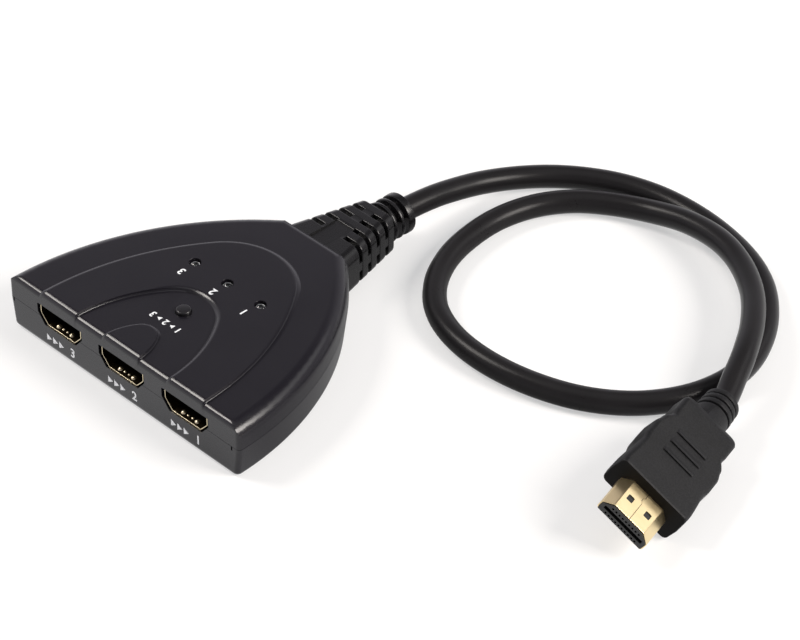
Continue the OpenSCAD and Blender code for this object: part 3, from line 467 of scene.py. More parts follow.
lid = dict(rim=15.6, step=0.8, tilt=0.9, level=0.55, sideFillet=3.7, frontFillet=1.4, rearFillet=0.4,
           rearFacet=0.95, facetSlope=0.2, rearLines=(0.04, 0.12, 0.24, 0.4, 0.7, 0.95), rearAcross=14,
           across=42, sideTurn=0.0155, spacing=0.55, lampHole=(3.06, 0.03, 16.4), lampY=33.5, lampPitch=11.5,
           buttonHole=(4.0, 0.08, 15.6), buttonY=19.6, under=13, over=18)
arches = [
    dict(half=28.5, length=49.4, nose=17.8, foot=0.9, soft=1.7, way=1, steep=0.6, back=0.5, tip=(27, -17)),
    dict(half=16.2, length=26.5, nose=10.8, foot=0.4, soft=1.4, way=-1, steep=0.6, back=0, tip=(-11, 8)),
    dict(half=6.3, length=10.5, nose=4.4, foot=0.5, soft=1.3, way=1, steep=0.55, back=0.3, tip=(4, -3))]
for arch in arches:
    arch["noseY"] = arch["length"] - arch["nose"]
    spread = arch["half"] - arch["nose"]
    arch["sideX"] = (arch["noseY"] ** 2 - spread ** 2) / (2 * spread)


def archDepth(arch, x, y):  # how far a point lies inside the arch
    x = abs(x)
    if arch["sideX"] * (y - arch["noseY"]) - arch["noseY"] * x > 0:
        return arch["nose"] - math.hypot(x, y - arch["noseY"])
    return arch["sideX"] + arch["half"] - math.hypot(x + arch["sideX"], y)


def archLine(arch, inset):  # arch drawn in by an inset, from the right foot to the left
    radius, nose, spacing = arch["sideX"] + arch["half"] - inset, arch["nose"] - inset, lid["spacing"]
    bend = math.atan2(arch["noseY"], arch["sideX"])
    count, tip = math.ceil(radius * bend / spacing), math.ceil(nose * (math.pi / 2 - bend) / spacing)
    half = [(radius * math.cos(bend * k / count) - arch["sideX"], radius * math.sin(bend * k / count))
            for k in range(count)]
    half += [(nose * math.cos(bend + (math.pi / 2 - bend) * k / tip),
              arch["noseY"] + nose * math.sin(bend + (math.pi / 2 - bend) * k / tip)) for k in range(tip + 1)]
    return half + [(-x, y) for x, y in reversed(half[:-1])]


def drop(distance, fillet):  # fall of a rounded edge at a distance from it
    if distance >= fillet:
        return 0
    return fillet - math.sqrt(max(fillet ** 2 - (fillet - max(distance, 0)) ** 2, 0))


def part(value):  # held between 0 and 1
    return min(max(value, 0), 1)


def archRise(arch, x, y):  # a step is a soft round; on one side it is a wall, round at its foot
    reach = arch["way"] * archDepth(arch, x, y) + arch["foot"]
    t = part(reach / arch["soft"])
    wall = part((reach - arch["back"]) / arch["steep"]) ** 5
    start, run = arch["tip"]
    return wall + (t * (2 - t) - wall) * part((x - start) / run)


def lidHeight(x, y):
    top = lid["rim"] + lid["tilt"] * (y / plan["depth"] - lid["level"])
    for arch in arches:
        top += lid["step"] * (archRise(arch, x, y) - (arch["way"] < 0))
    side = plan["sideRadius"] - math.hypot(abs(x) + plan["sideCentre"], y - plan["sideY"])
    back = plan["depth"] - y
    rear = drop(back, lid["rearFillet"]) + lid["facetSlope"] * max(lid["rearFacet"] - back, 0)
    return top - max(drop(y, lid["frontFillet"]), drop(side, lid["sideFillet"]), rear)


def filletInsets(fillet, steps):  # where a rounded edge gets its mesh lines
    return [fillet * (1 - math.cos(math.pi / 2 * k / steps)) for k in range(1, steps + 1)]


def lidSkin():
    points, edges = [], []

    def line(way, closed=False):
        first = len(points)
        points.extend(Vector(p) for p in way)
        edges.extend((i, i + 1) for i in range(first, len(points) - 1))
        if closed:
            edges.append((len(points) - 1, first))

    border = planOutline(0, 0)
    line(border, True)
    for inset in filletInsets(lid["sideFillet"], 9):
        radius = plan["sideRadius"] - inset
        for s in (-1, 1):
            line([(s * (radius * math.cos(a) - plan["sideCentre"]), radius * math.sin(a) + plan["sideY"])
                  for a in (lid["sideTurn"] * i for i in range(-1, 58))])
    for inset in filletInsets(lid["frontFillet"], 7):
        line([(-lid["across"], inset), (lid["across"], inset)])
    for y in (plan["depth"] - inset for inset in lid["rearLines"]):
        line([(-lid["rearAcross"], y), (lid["rearAcross"], y)])
    for arch in arches:
        for k in range(9):
            line(archLine(arch, arch["way"] * (arch["soft"] * k / 8 - arch["foot"])))
        for k in range(5, 11):
            line(archLine(arch, arch["way"] * (arch["back"] + arch["steep"] * k / 10 - arch["foot"])))
    made, _, triangles, *_ = delaunay_2d_cdt(points, edges, [], 0, 1e-5)
    build = bmesh.new()
    verts = [build.verts.new((p.x, p.y, lidHeight(p.x, p.y))) for p in made]
    for tri in triangles:
        centre = (made[tri[0]] + made[tri[1]] + made[tri[2]]) / 3
        if insideOf(border, centre):
            build.faces.new([verts[i] for i in tri])
    bmesh.ops.delete(build, geom=[v for v in build.verts if not v.link_faces], context="VERTS")
    return build


def insideOf(outline, p):
    within = False
    for i, (x, y) in enumerate(outline):
        px, py = outline[i - 1]
        if (y > p.y) != (py > p.y) and p.x < (px - x) * (p.y - y) / (py - y) + x:
            within = not within
    return within


def extrudeBorder(build, move):
    border = [e for e in build.edges if len(e.link_faces) == 1]
    made = bmesh.ops.extrude_edge_only(build, edges=border)
    for v in [g for g in made["geom"] if isinstance(g, bmesh.types.BMVert)]:
        v.co = move(v.co)


def drawnIn(p, amount, z):  # a border point moved inwards by an amount
    side = plan["sideRadius"] - math.hypot(abs(p.x) + plan["sideCentre"], p.y - plan["sideY"])
    x, y = p.x, p.y
    if side < seam["nearSide"]:
        x -= math.copysign(amount, x)
    if y < seam["nearEnd"]:
        y += amount
    elif y > plan["depth"] - seam["nearEnd"]:
        y -= amount
    return Vector((x, y, z))


screws = [(s * x, y) for s in (-1, 1) for x, y in ((31, 17), (16.5, 45.5))]
boss = dict(r=2.5, low=4.4, sink=0.4, bore=1.15, boreLow=3.5, boreTop=11.2)
lampX = [lid["lampPitch"] * i for i in (1, 0, -1)]


def lidHole(build, x, y, form):  # through the lid, widened a little above a level
    diameter, edge, level = form
    r = diameter / 2
    profile = [(r, lid["under"]), (r, level - edge), (r + edge, level), (r + edge, lid["over"])]
    turned(build, profile, 48, (x, y, 0))


def topCover():
    build = lidSkin()
    extrudeBorder(build, lambda p: Vector((p.x, p.y, seam["z"] + seam["gap"])))
    extrudeBorder(build, lambda p: drawnIn(p, seam["lip"], p.z))
    extrudeBorder(build, lambda p: Vector((p.x, p.y, seam["z"])))
    bmesh.ops.holes_fill(build, edges=[e for e in build.edges if len(e.link_faces) == 1], sides=0)
    piece = placed("topCover", millimetreMesh("topCover", build))
    cavity = bmesh.new()
    prismUp(cavity, planOutline(inside["wall"], inside["wall"]), seam["z"] - 1, inside["lid"])
    carve(piece, cavity)
    bosses = bmesh.new()
    for x, y in screws:
        turned(bosses, [(boss["r"], boss["low"]), (boss["r"], inside["lid"] + boss["sink"])], 32, (x, y, 0))
    carve(piece, bosses, "UNION")
    cuts = bmesh.new()
    socketCuts(cuts)
    reliefCut(cuts)
    for x in lampX:
        lidHole(cuts, x, lid["lampY"], lid["lampHole"])
    lidHole(cuts, 0, lid["buttonY"], lid["buttonHole"])
    for x, y in screws:
        turned(cuts, [(boss["bore"], boss["boreLow"]), (boss["bore"], boss["boreTop"])], 24, (x, y, 0))
    carve(piece, cuts)
    return finished(piece, caseLook, stands=["top_cover"])


base = dict(pry=(-39.2, 38.1), pryHalf=0.22, pryDrop=1.1, pryDeep=0.8, fillet=1.4, taper=0.9,
            seat=2.2, seatRadius=2.2, seatEdge=0.3, shank=1.2, post=3.6, postLow=0.6, postTop=4.4,
            rests=((26, 24), (8, 50)), rest=2, boardUnder=5.4)


def bottomCover():
    rings = []
    for k in range(6):
        a = math.pi / 2 * k / 5
        z, inset = base["fillet"] * (1 - math.cos(a)), base["fillet"] * (1 - math.sin(a))
        rings.append((z, base["taper"] + inset, inset))
    rings += [(seam["z"], 0, 0)]
    build = bmesh.new()
    loft(build, [[(x, y, z) for x, y in planOutline(side, end)] for z, side, end in rings])
    piece = placed("bottomCover", millimetreMesh("bottomCover", build))
    cavity = bmesh.new()
    prismUp(cavity, planOutline(inside["wall"], inside["wall"]), inside["floor"], seam["z"] + 1)
    carve(piece, cavity)
    posts = bmesh.new()
    for x, y in screws:
        turned(posts, [(base["post"], base["postLow"]), (base["post"], base["postTop"])], 32, (x, y, 0))
    for s in (-1, 1):
        for x, y in base["rests"]:  # the board lies on these
            turned(posts, [(base["rest"], 1), (base["rest"], base["boardUnder"])], 24, (s * x, y, 0))
    carve(piece, posts, "UNION")
    cuts = bmesh.new()
    socketCuts(cuts)
    reliefCut(cuts)
    r, e = base["seatRadius"], base["seatEdge"]
    seat = [(r + e, -1), (r + e, 0), (r, e), (r, base["seat"]), (base["shank"], base["seat"]),
            (base["shank"], 6)]
    for x, y in screws:
        turned(cuts, seat, 32, (x, y, 0))
    for x in base["pry"]:
        block(cuts, (x - base["pryHalf"], -1, seam["z"] - base["pryDrop"]),
              (x + base["pryHalf"], base["pryDeep"], seam["z"] + 1))
    carve(piece, cuts)
    return finished(piece, caseLook, stands=["bottom_cover"])


topCover()
bottomCover()
print("case built")


# Sockets.
shell = dict(w=14.7, h=5.2, base=9.8, side=2.4, sheet=0.25, front=0.35, length=11.4, corner=0.55, lip=0.4)
dimple = dict(y=1.4, facet=0.2, spots=((2.35, 0.8, 0.5), (0.75, 0.45, 0.26)))  # across, radius, height
leg = dict(x=4.4, half=0.5, y=(3.4, 8.8), thick=0.125, low=4.6, sink=0.12)


def sheetOutline(form, inset, x=0, z=0, flip=1):  # a socket outline drawn in by an inset
    outline = socketOutline(form["w"] - 2 * inset, form["h"] - 2 * inset, form["base"] - 1.1 * inset,
                            form["side"] - 0.7 * inset, x, z, flip)
    return rounded(outline, form["corner"] - inset * 0.9)


def sheetTube(build, outlineAt, y0, y1, sheet):  # rounded sheet tube along y, open at both ends
    e, c = 0.1, 0.03  # round of the front edge
    profile = [(0, y1), (0, y0 + e), (c, y0 + c), (e, y0), (sheet - e, y0), (sheet - c, y0 + c),
               (sheet, y0 + e), (sheet, y1)]
    loft(build, [[(x, y, z) for x, z in outlineAt(inset)] for inset, y in profile], closed=True)


def socketShell(name, node, x):
    build = bmesh.new()

    def outlineAt(inset):
        return sheetOutline(shell, inset, x, socketCut["z"])

    sheetTube(build, outlineAt, shell["front"], shell["front"] + shell["length"], shell["sheet"])
    floor = socketCut["z"] - shell["h"] / 2
    for s in (-1, 1):
        for across, radius, rise in dimple["spots"]:
            crown = floor + shell["sheet"] + rise
            arc = [(radius * math.sin(a), crown - radius * (1 - math.cos(a)))
                   for a in (math.radians(6 + 9 * k) for k in range(9))]
            turned(build, [(r, z) for r, z in reversed(arc) if z > floor + 0.1], 32,
                   (x + s * across, shell["front"] + dimple["y"], 0))
        for y in leg["y"]:
            block(build, (x + s * leg["x"] - leg["half"], shell["front"] + y - leg["thick"], leg["low"]),
                  (x + s * leg["x"] + leg["half"], shell["front"] + y + leg["thick"], floor + leg["sink"]))
    piece = placed(name, millimetreMesh(name, build))
    finished(piece, socketGiltAndHighlightLook, stands=[node])
    piece.data.materials.append(socketPaintedShadeLook)
    lip = (frontY + shell["front"] + shell["lip"]) * mm
    top = (floor + shell["sheet"] + 0.02) * mm
    for face in piece.data.polygons:  # painted shade: the sheet away from its lip and dimples takes the dark gilt copy
        off = abs(face.center.x / mm - x)
        bump = any(abs(off - across) < radius + 0.1 for across, radius, _ in dimple["spots"])
        bump = bump and face.center.z > top and face.area < dimple["facet"] * mm * mm
        face.material_index = int(face.center.y > lip and not bump)
    return piece


for i in (1, 2, 3):
    socketShell(f"socketShell{i}", f"socket_shell_{i}", (2 - i) * socketCut["pitch"])
print("sockets built")


# Strain relief.
relief = dict(length=29.2, taper=22.6, w=(22, 11.4), h=(12, 11.2), corner=2.8, z=8, depth=1.3, slotStart=6.6,
              pitch=3.75, slot=1.3, count=4, spines=(7.4, 5.6, 3, 3), sideSpine=1.2, collar=10.8, edge=0.3,
              rings=((22.3, 23.3), (24.7, 25.7), (27.1, 29.2)), ringEdge=0.35, ringDepth=1.5,
              webs=((-5.1, -4.1), (4.1, 5.1)), webHalf=1.6,
              roots=((6.5, 4.7, 11.3, -1.95, 0.5), (8.5, 3.5, 12.5, -3.5, -1.9)))
sunk = dict(half=3, start=0.6, end=10.4,  # panel set into the top
            wall=((13.45, 0), (13.6, 0.01), (13.69, 0.05), (13.755, 0.14), (13.79, 0.27), (13.807, 0.44),
                  (15, 0.5)))


def reliefSection(s, inset):
    t = s / relief["taper"]
    w = relief["w"][0] + (relief["w"][1] - relief["w"][0]) * t - 2 * inset
    h = relief["h"][0] + (relief["h"][1] - relief["h"][0]) * t - 2 * inset
    corners = [(-w / 2, h / 2), (w / 2, h / 2), (w / 2, -h / 2), (-w / 2, -h / 2)]
    outline = rounded(corners, relief["corner"] - inset, 8)
    return [(x, plan["depth"] + s, relief["z"] + z) for x, z in outline]


def reliefBand(build, s0, s1, roundStart=True):
    e = relief["edge"]
    ends = [(0, 0.62), (0.3, 0.2), (0.62, 0.06), (1, 0)]
    rings = [(s0 + e * t, e * d) for t, d in ends] if roundStart else [(s0, 0)]
    rings += [(s1 - e * t, e * d) for t, d in reversed(ends)]
    loft(build, [reliefSection(s, d) for s, d in rings])


def strainRelief():
    build = bmesh.new()
    loft(build, [reliefSection(s, relief["depth"]) for s in (0.02, relief["taper"] - 0.05)])
    piece = placed("strainRelief", millimetreMesh("strainRelief", build))
    bands = bmesh.new()
    reliefBand(bands, 0, relief["slotStart"] - relief["slot"] / 2, False)
    for i in range(relief["count"]):
        s = relief["slotStart"] + i * relief["pitch"] + relief["slot"] / 2
        reliefBand(bands, s, s + relief["pitch"] - relief["slot"])
    carve(piece, bands, "UNION")
    spines = bmesh.new()
    for i, w in enumerate(relief["spines"]):
        s = relief["slotStart"] + i * relief["pitch"]
        h = relief["h"][0] / 2 - 0.03 - 0.018 * s
        block(spines, (-w / 2, plan["depth"] + s - 1.1, relief["z"] - h),
              (w / 2, plan["depth"] + s + 1.1, relief["z"] + h))
    for s in (-1, 1):
        rings = []
        for at in (relief["slotStart"] - 1, relief["slotStart"] + 3 * relief["pitch"] + 1):
            face = reliefSection(at, 0.12)[0][0]
            rings.append([(-s * (face + dx), plan["depth"] + at, relief["z"] + z * relief["sideSpine"])
                          for dx, z in ((0, -1), (0, 1), (2, 1), (2, -1))])
        loft(spines, rings)
    carve(piece, spines, "UNION")
    panel, half, rings = bmesh.new(), sunk["half"], []
    near, far = plan["depth"] + sunk["start"], plan["depth"] + sunk["end"]
    for z, d in sunk["wall"]:  # the far wall rolls over at its top
        rings.append([(-half, near, z), (half, near, z), (half, far + d, z), (-half, far + d, z)])
    loft(panel, rings)
    carve(piece, panel)
    collar, r, e = bmesh.new(), relief["collar"] / 2, relief["ringEdge"]
    groove = r - relief["ringDepth"]
    profile = [(groove, relief["taper"] - 1)]
    for start, end in relief["rings"]:
        profile += [(groove, start), (r - e, start), (r - 0.3 * e, start + 0.3 * e), (r, start + e),
                    (r, end - e), (r - 0.3 * e, end - 0.3 * e), (r - e, end), (groove, end)]
    profile[-1] = (cable["diameter"] / 2, relief["length"])
    turned(collar, profile, 64, (0, plan["depth"], relief["z"]), "Y")
    carve(piece, collar, "UNION")
    webs = bmesh.new()
    for x0, x1 in relief["webs"]:
        block(webs, (x0, plan["depth"] + relief["taper"] - 0.6, relief["z"] - relief["webHalf"]),
              (x1, plan["depth"] + relief["length"] - 0.3, relief["z"] + relief["webHalf"]))
    carve(piece, webs, "UNION")
    for half, low, high, y0, y1 in relief["roots"]:  # neck in the case's wall, then the flange behind it
        root, corners = bmesh.new(), [(-half, low), (half, low), (half, high), (-half, high)]
        prismAlong(root, corners, plan["depth"] + y0, plan["depth"] + y1)
        carve(piece, root, "UNION")
    return finished(piece, reliefLook, stands=["strain_relief"])


reliefPiece = strainRelief()
print("strain relief built")


# Plug, drawn with its tip along -Y and then laid by plugMatrix.
grip = dict(h=9.3, up=0.35, length=30.4, corner=1.25, draft=0.35, widest=-0.4,
            frontRun=0.35, frontDrop=0.15, endRun=2.2, endDrop=0.8,
            half=[(0, 10.05), (0.12, 10.17), (0.35, 10.25), (2, 10.35), (10, 9.8), (12.4, 10.2),
                  (16.6, 10.2), (19.4, 9.5), (22.4, 8.1), (24.4, 8.35), (28.9, 8.35), (29.75, 8.1),
                  (30.2, 7.65), (30.4, 7.0)])
ridge = dict(start=10.8, pitch=3.5, length=9, ends=0.4,
             section=[(0, -0.5), (0.02, 0.28), (0.08, 0.4), (0.2, 0.47), (0.4, 0.46), (1.5, 0.0),
                      (1.7, -0.5)])
neck = dict(r=4.6, groove=4.05, ring=4.65, shrink=0.1, start=4.5, pitch=2.05)
tip = dict(w=13.9, h=4.45, base=9.1, side=2.3, corner=0.6, sheet=0.3, front=-9.6, back=8, windowX=2.65,
           windowY=-4.9, window=(0.85, 0.9, 0.25), seamHalf=0.07,
           seam=[(0, -10), (0, -3.4), (-0.45, -2.9), (-0.45, -2.0), (0, -1.6), (0, 1)])


def gripHalf(y):
    stops = grip["half"]
    for (y0, w0), (y1, w1) in zip(stops, stops[1:]):
        if y <= y1:
            t = (y - y0) / (y1 - y0)
            return w0 + (w1 - w0) * t * t * (3 - 2 * t)
    return stops[-1][1]


def tipOutline(inset):
    return sheetOutline(tip, inset, flip=-1)


def plugGrip():
    stations = sorted({*[y for y, _ in grip["half"]], *[0.6 * k for k in range(1, 50)]})
    rings = []
    for y in stations:
        end = max(0, 1 - (grip["length"] - y) / grip["endRun"])
        front = max(0, 1 - y / grip["frontRun"])
        h = grip["h"] / 2 - grip["endDrop"] * end ** 2 - grip["frontDrop"] * front ** 2
        w, d, mid = gripHalf(y), grip["draft"], grip["widest"]
        corners = [(-w + d, h), (w - d, h), (w, mid), (w - d, -h), (-w + d, -h), (-w, mid)]
        rings.append([(x, y, z + grip["up"]) for x, z in rounded(corners, grip["corner"], 6)])
    build = bmesh.new()
    loft(build, rings)
    piece = placed("plugGrip", millimetreMesh("plugGrip", build))
    ridges, top = bmesh.new(), grip["up"] + grip["h"] / 2
    for i in range(3):
        y, w, rings = ridge["start"] + i * ridge["pitch"], ridge["length"] / 2, []
        for x, share in ((-w, ridge["ends"]), (-w + 0.5, 1), (0, 1), (w - 0.5, 1), (w, ridge["ends"])):
            rings.append([(x, y + dy, top + dz * (share if dz > 0 else 1)) for dy, dz in ridge["section"]])
        loft(ridges, rings)
    carve(piece, ridges, "UNION")
    collar, end, r, groove = bmesh.new(), grip["length"], neck["r"], neck["groove"]
    profile = [(r, end - 1), (r, end + 3.7), (r - 0.1, end + 3.95), (groove, end + 4.05)]
    for i in range(3):
        y, r = end + neck["start"] + neck["pitch"] * i, neck["ring"] - neck["shrink"] * i
        profile += [(groove, y), (r - 0.25, y + 0.03), (r - 0.06, y + 0.14), (r, y + 0.35), (r, y + 1.25),
                    (r - 0.06, y + 1.46), (r - 0.25, y + 1.57), (groove, y + 1.6)]
    profile[-1] = (cable["diameter"] / 2, profile[-1][1])
    turned(collar, profile, 64, (0, 0, 0), "Y")
    carve(piece, collar, "UNION")
    hole = bmesh.new()
    prismAlong(hole, tipOutline(0), -1, tip["back"])
    carve(piece, hole)
    front = [face.index for face in piece.data.polygons if face.center.y < 0.12 and face.normal.y < -0.9]
    finished(piece, gripLook, stands=["plug_grip"], matrix=plugMatrix, sharp=38)
    # the front face takes the painted shade copy of the rubber
    piece.data.materials.append(gripFrontPaintedShadeLook)
    for i in front:
        piece.data.polygons[i].material_index = 1
    return piece


def plugShell():
    build = bmesh.new()
    sheetTube(build, tipOutline, tip["front"], tip["back"], tip["sheet"])
    piece = placed("plugShell", millimetreMesh("plugShell", build))
    cuts, z = bmesh.new(), tip["h"] / 2
    w, h, corner = tip["window"]
    outline = rounded([(-w, -h), (w, -h), (w, h), (-w, h)], corner, 4)
    for s in (-1, 1):
        prismUp(cuts, [(s * tip["windowX"] + x, tip["windowY"] + y) for x, y in outline], z - 0.6, z + 0.6)
    way, half = tip["seam"], tip["seamHalf"]
    sides = [(x - half, y) for x, y in way] + [(x + half, y) for x, y in reversed(way)]
    prismUp(cuts, sides, z - 0.4, z + 0.5)
    carve(piece, cuts)
    return finished(piece, giltLook, stands=["plug_shell"], matrix=plugMatrix)


core = dict(front=-10, wall=0.9, half=5.7, depth=7, mouth=(-0.58, 0.38), slot=(-0.95, 0.75), hole=0.5,
            deep=0.7, rows=((10, -1.3), (9, 1.12)))


def plugCore():
    build = bmesh.new()
    prismAlong(build, tipOutline(tip["sheet"] + 0.01), core["front"], tip["back"])
    piece = placed("plugCore", millimetreMesh("plugCore", build))
    inner, half = core["front"] + core["wall"], core["half"]
    for (low, high), y0, y1 in ((core["slot"], inner, core["front"] + core["depth"]),
                                (core["mouth"], core["front"] - 1, inner + 0.1)):
        slot = bmesh.new()
        block(slot, (-half, y0, low), (half, y1, high))
        carve(piece, slot)
    holes, r = bmesh.new(), core["hole"] / 2
    for count, z in core["rows"]:
        for i in range(count):
            x = i - (count - 1) / 2
            block(holes, (x - r, core["front"] - 1, z - r), (x + r, core["front"] + core["deep"], z + r))
    carve(piece, holes)
    return finished(piece, insulatorLook, stands=["plug_core"], matrix=plugMatrix)


gripPiece, shellPiece, corePiece = plugGrip(), plugShell(), plugCore()
print("plug built")


# Lamps, button and the key dome under it.
lamp = dict(r=1.48, rim=1.9, base=10.7, top=16.3)


def lampLens(name, node, x):
    build, r, rim, z = bmesh.new(), lamp["r"], lamp["rim"], lamp["base"]
    profile = [(rim - 0.1, z), (rim, z + 0.1), (rim, z + 0.9), (rim - 0.1, z + 1), (r, z + 1.02)]
    profile += [(r * math.cos(a), lamp["top"] - r + r * math.sin(a))
                for a in (math.radians(7.5 * k) for k in range(12))]
    turned(build, profile, 40, (x, lid["lampY"], 0))
    piece = placed(name, millimetreMesh(name, build))
    return finished(piece, lampLook, stands=[node])


def lampCup(name, x):  # lead frame with its reflector inside the lamp
    build, z = bmesh.new(), lamp["base"]
    turned(build, [(0.3, z + 1.2), (0.3, z + 4.3), (0.2, z + 4.4)], 24, (x, lid["lampY"], 0))
    ring = [(0.95, z + 4.15), (0.95, z + 4.4), (0.8, z + 4.4), (0.8, z + 4.15)]
    turns, y = [2 * math.pi * k / 32 for k in range(32)], lid["lampY"]
    loft(build, [[(x + r * math.cos(a), y + r * math.sin(a), h) for a in turns] for r, h in ring], True)
    block(build, (x - 0.85, y - 0.12, z + 4.15), (x + 0.85, y + 0.12, z + 4.25))
    piece = placed(name, millimetreMesh(name, build))
    return finished(piece, cupLook)


for i, x in enumerate(lampX):
    lampLens(f"lamp{i + 1}", f"lamp_{i + 1}", x)
    lampCup(f"lampCup{i + 1}", x)

button = dict(r=1.85, top=16.35, crown=0.06, edge=0.4, base=11.64, flange=3.1, flangeLow=12.7, flangeTop=13.7)


def selectButton():
    build = bmesh.new()
    r, e, flange, crown = button["r"], button["edge"], button["flange"], button["crown"]
    flat = r - e
    ball = (flat ** 2 + crown ** 2) / (2 * crown)
    edge, rim = math.asin(flat / ball), button["top"] - crown - e
    profile = [(r, button["base"]), (r, button["flangeLow"]), (flange, button["flangeLow"]),
               (flange, button["flangeTop"]), (r, button["flangeTop"])]
    profile += [(flat + e * math.cos(a), rim + e * math.sin(a))
                for a in (math.radians(18 * k) for k in range(6))]
    profile += [(ball * math.sin(a), button["top"] - ball * (1 - math.cos(a)))
                for a in (edge * (0.9 - 0.2 * k) for k in range(5))]
    turned(build, profile, 48, (0, lid["buttonY"], 0))
    piece = placed("selectButton", millimetreMesh("selectButton", build))
    return finished(piece, buttonLook, "button", stands=["select_button"])


dome = dict(z=7.78, h=0.45, r=2.2, sheet=0.12)


def keyDome():
    build = bmesh.new()
    ball = (dome["r"] ** 2 + dome["h"] ** 2) / (2 * dome["h"])
    edge = math.asin(dome["r"] / ball)
    angles = [edge * (1 - 0.12 * k) for k in range(9)]
    under = [(ball * math.sin(a), dome["z"] + dome["h"] - ball * (1 - math.cos(a))) for a in angles]
    turned(build, [(r, z) for r, z in reversed(under)] + [(r, z + dome["sheet"]) for r, z in under], 40,
           (0, lid["buttonY"], 0))
    piece = placed("keyDome", millimetreMesh("keyDome", build))
    finished(piece, tinLook, stands=["key_dome"])
    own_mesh(piece)
    return piece


selectButton()
keyDome()
print("lamps and button built")


# Printed marks: pointers and numerals.
ink = dict(depth=0.03, swell=0.03, capital=0.72)


def wordMesh(build, words, height, place):  # numerals laid flat, then placed by a matrix
    curve = bpy.data.curves.new("word", "FONT")
    curve.body, curve.size, curve.extrude = words, height / ink["capital"], ink["depth"]
    curve.offset, curve.resolution_u = ink["swell"] * height, 5
    curve.align_x, curve.align_y = "CENTER", "CENTER"
    word = placed("word", curve)
    mesh = bpy.data.meshes.new_from_object(word.evaluated_get(bpy.context.evaluated_depsgraph_get()))
    mesh.transform(place)
    build.from_mesh(mesh)
    bpy.data.objects.remove(word)


def pointer(build, size, place):  # small triangle that points along +X
    outline = [(-0.4 * size, -0.5 * size), (0.5 * size, 0), (-0.4 * size, 0.5 * size)]
    loft(build, [[place @ Vector((x, y, z)) for x, y in outline] for z in (-ink["depth"], ink["depth"])])


lidMark = dict(numeral=2.2, y=28.9, x=(10.8, 0, -11.1), wordY=14.0, wordStep=2.2, small=1.9, pointer=1.3)
frontMark = dict(numeral=2.5, z=3.35, x=4.3, pointers=(-4.3, -2.1, 0.1), pointer=1.9)


def lidMarks():
    build, half = bmesh.new(), Matrix.Rotation(math.pi, 4, "Z")
    for i, x in enumerate(lidMark["x"]):
        place = Matrix.Translation((x, lidMark["y"], lidHeight(x, lidMark["y"]))) @ half
        wordMesh(build, str(i + 1), lidMark["numeral"], place)
    for k, sign in enumerate("1>2>3"):
        x, y = (2 - k) * lidMark["wordStep"], lidMark["wordY"]
        place = Matrix.Translation((x, y, lidHeight(x, y))) @ half
        if sign == ">":
            pointer(build, lidMark["pointer"], place)
        else:
            wordMesh(build, sign, lidMark["small"], place)
    piece = placed("lidMarks", millimetreMesh("lidMarks", build))
    return finished(piece, printLook)


def frontMarks():
    build, up = bmesh.new(), Matrix.Rotation(math.pi / 2, 4, "X")
    for i in (1, 2, 3):
        x = (2 - i) * socketCut["pitch"]
        for k in frontMark["pointers"]:
            pointer(build, frontMark["pointer"], Matrix.Translation((x + k, 0, frontMark["z"])) @ up)
        place = Matrix.Translation((x + frontMark["x"], 0, frontMark["z"])) @ up
        wordMesh(build, str(i), frontMark["numeral"], place)
    piece = placed("frontMarks", millimetreMesh("frontMarks", build))
    return finished(piece, printLook)


lidMarks()
frontMarks()
print("marks printed")


# Cable finish; the cable rides the case in place of the CAD jacket.
cableCurve.materials.append(cableLook)
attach(cablePiece, "case")
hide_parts("cable_jacket")


# Floor and light.
floorLook = dict(size=6.0, colour=(0.87, 0.87, 0.87, 1), share=0.5, mirrored=0.9, shade=0.34,
                 shadeAt=(0.03, 0.03, 0), shadeReach=(0.045, 0.075), below=0.00005)


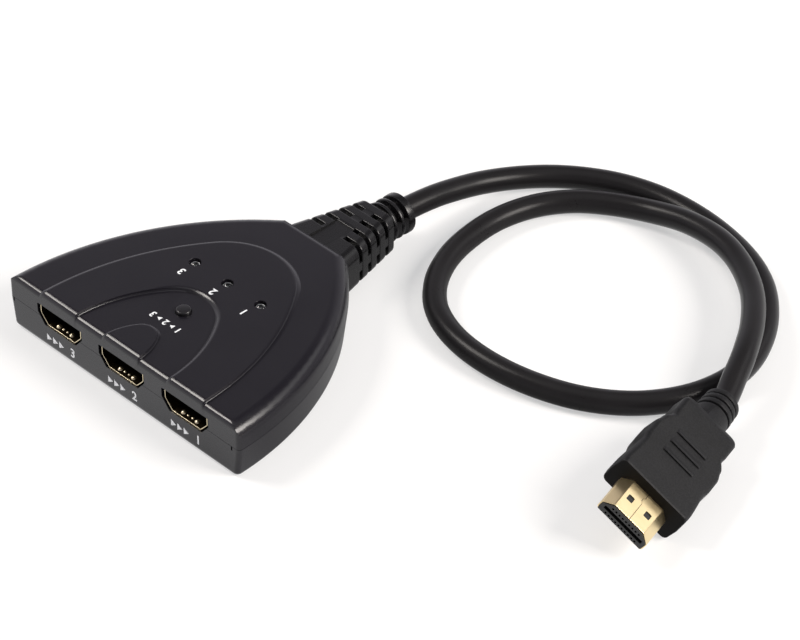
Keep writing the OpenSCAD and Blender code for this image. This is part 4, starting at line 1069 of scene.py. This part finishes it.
def floorPiece():
    build, half = bmesh.new(), floorLook["size"] / 2
    corners = ((-half, -half, 0), (half, -half, 0), (half, half, 0), (-half, half, 0))
    build.faces.new([build.verts.new(p) for p in corners])
    mesh = bpy.data.meshes.new("floor")
    build.to_mesh(mesh)
    build.free()
    floor = placed("floor", mesh)
    floor.location.z = cadLow.z - floorLook["below"]
    look = Finish("floorWhite", Base_Color=floorLook["colour"], Roughness=0.9, Specular_IOR_Level=0.1)
    direct, glossy, through = [look.node("LightPath", out=f"Is {name} Ray")
                               for name in ("Camera", "Glossy", "Transmission")]
    seen = floorLook["share"] * direct + floorLook["mirrored"] * (glossy + through)
    white, dim = [look.node("Emission", sockets={"Color": grey(v), "Strength": 1.0})
                  for v in (1, floorLook["shade"])]
    apart = look.node("VectorMath", {"operation": "DISTANCE"},
                      {0: look.where(), 1: floorLook["shadeAt"]}, out="Value")
    near, far = floorLook["shadeReach"]  # painted shade: the mirrored floor is dimmed beside the part
    clear = look.node("MapRange", {"interpolation_type": "SMOOTHSTEP"},
                      {"Value": apart, "From Min": near, "From Max": far})
    clear = clear * (1 - direct) + direct
    white = look.node("MixShader", sockets={0: clear, 1: dim, 2: white})
    blend = look.node("MixShader", sockets={0: seen, 1: Wire(look.shader.outputs[0]), 2: white})
    feed(look.tree.nodes["Material Output"].inputs["Surface"], blend)
    mesh.materials.append(look.material)


floorPiece()
lightAim = Vector((0.05, 0.03, 0.01))
lights = [
    dict(name="leftLight", at=(-0.65, -0.36, 0.89), size=(0.4, 0.4), power=8.7, colour=(1, 0.95, 0.9)),
    dict(name="rightLight", at=(0.95, 0.45, 0.69), size=(0.55, 0.55), power=18.0, colour=(1, 0.95, 0.9)),
    dict(name="backLight", at=(0.48, 0.88, 0.64), size=(0.8, 0.45), power=1.1, colour=(1, 1, 1)),
    dict(name="topLight", at=(0.1, 0.05, 1.5), size=(1.5, 1.5), power=4.0, colour=(0.97, 0.98, 1))]
for light in lights:
    lightData = bpy.data.lights.new(light["name"], "AREA")
    lightData.shape, lightData.energy, lightData.color = "RECTANGLE", light["power"], light["colour"]
    lightData.size, lightData.size_y = light["size"]
    lightObject = bpy.data.objects.new(light["name"], lightData)
    lightObject.location = light["at"]
    lightObject.rotation_mode = "QUATERNION"
    lightObject.rotation_quaternion = (lightAim - Vector(light["at"])).to_track_quat("-Z", "Y")
    scene.collection.objects.link(lightObject)

world = bpy.data.worlds.new("studio")
scene.world = world
world.use_nodes = True
sky = Patch(world.node_tree)
toward = sky.node("TexCoord", out="Generated")
rise = sky.node("SeparateXYZ", sockets={0: toward}, out=2)
across = sky.node("SeparateXYZ", sockets={0: toward}, out=0)
height = sky.node("ValToRGB", {"stops": [(z, (v, 0.97 * v, 1.04 * v, 1)) for z, v in (
    (0.12, 1), (0.4, 0.72), (0.57, 0.46), (0.66, 0.14), (0.8, 0.05))]}, {0: rise})  # white low, dim overhead
side = sky.node("MapRange", sockets={"Value": across, "From Min": -0.6, "From Max": 0.3,
                                     "To Min": 1.0, "To Max": 0.4})  # brighter from the left
feed(sky.tree.nodes["Background"].inputs["Color"], height)
feed(sky.tree.nodes["Background"].inputs["Strength"], side)
print("studio lit")
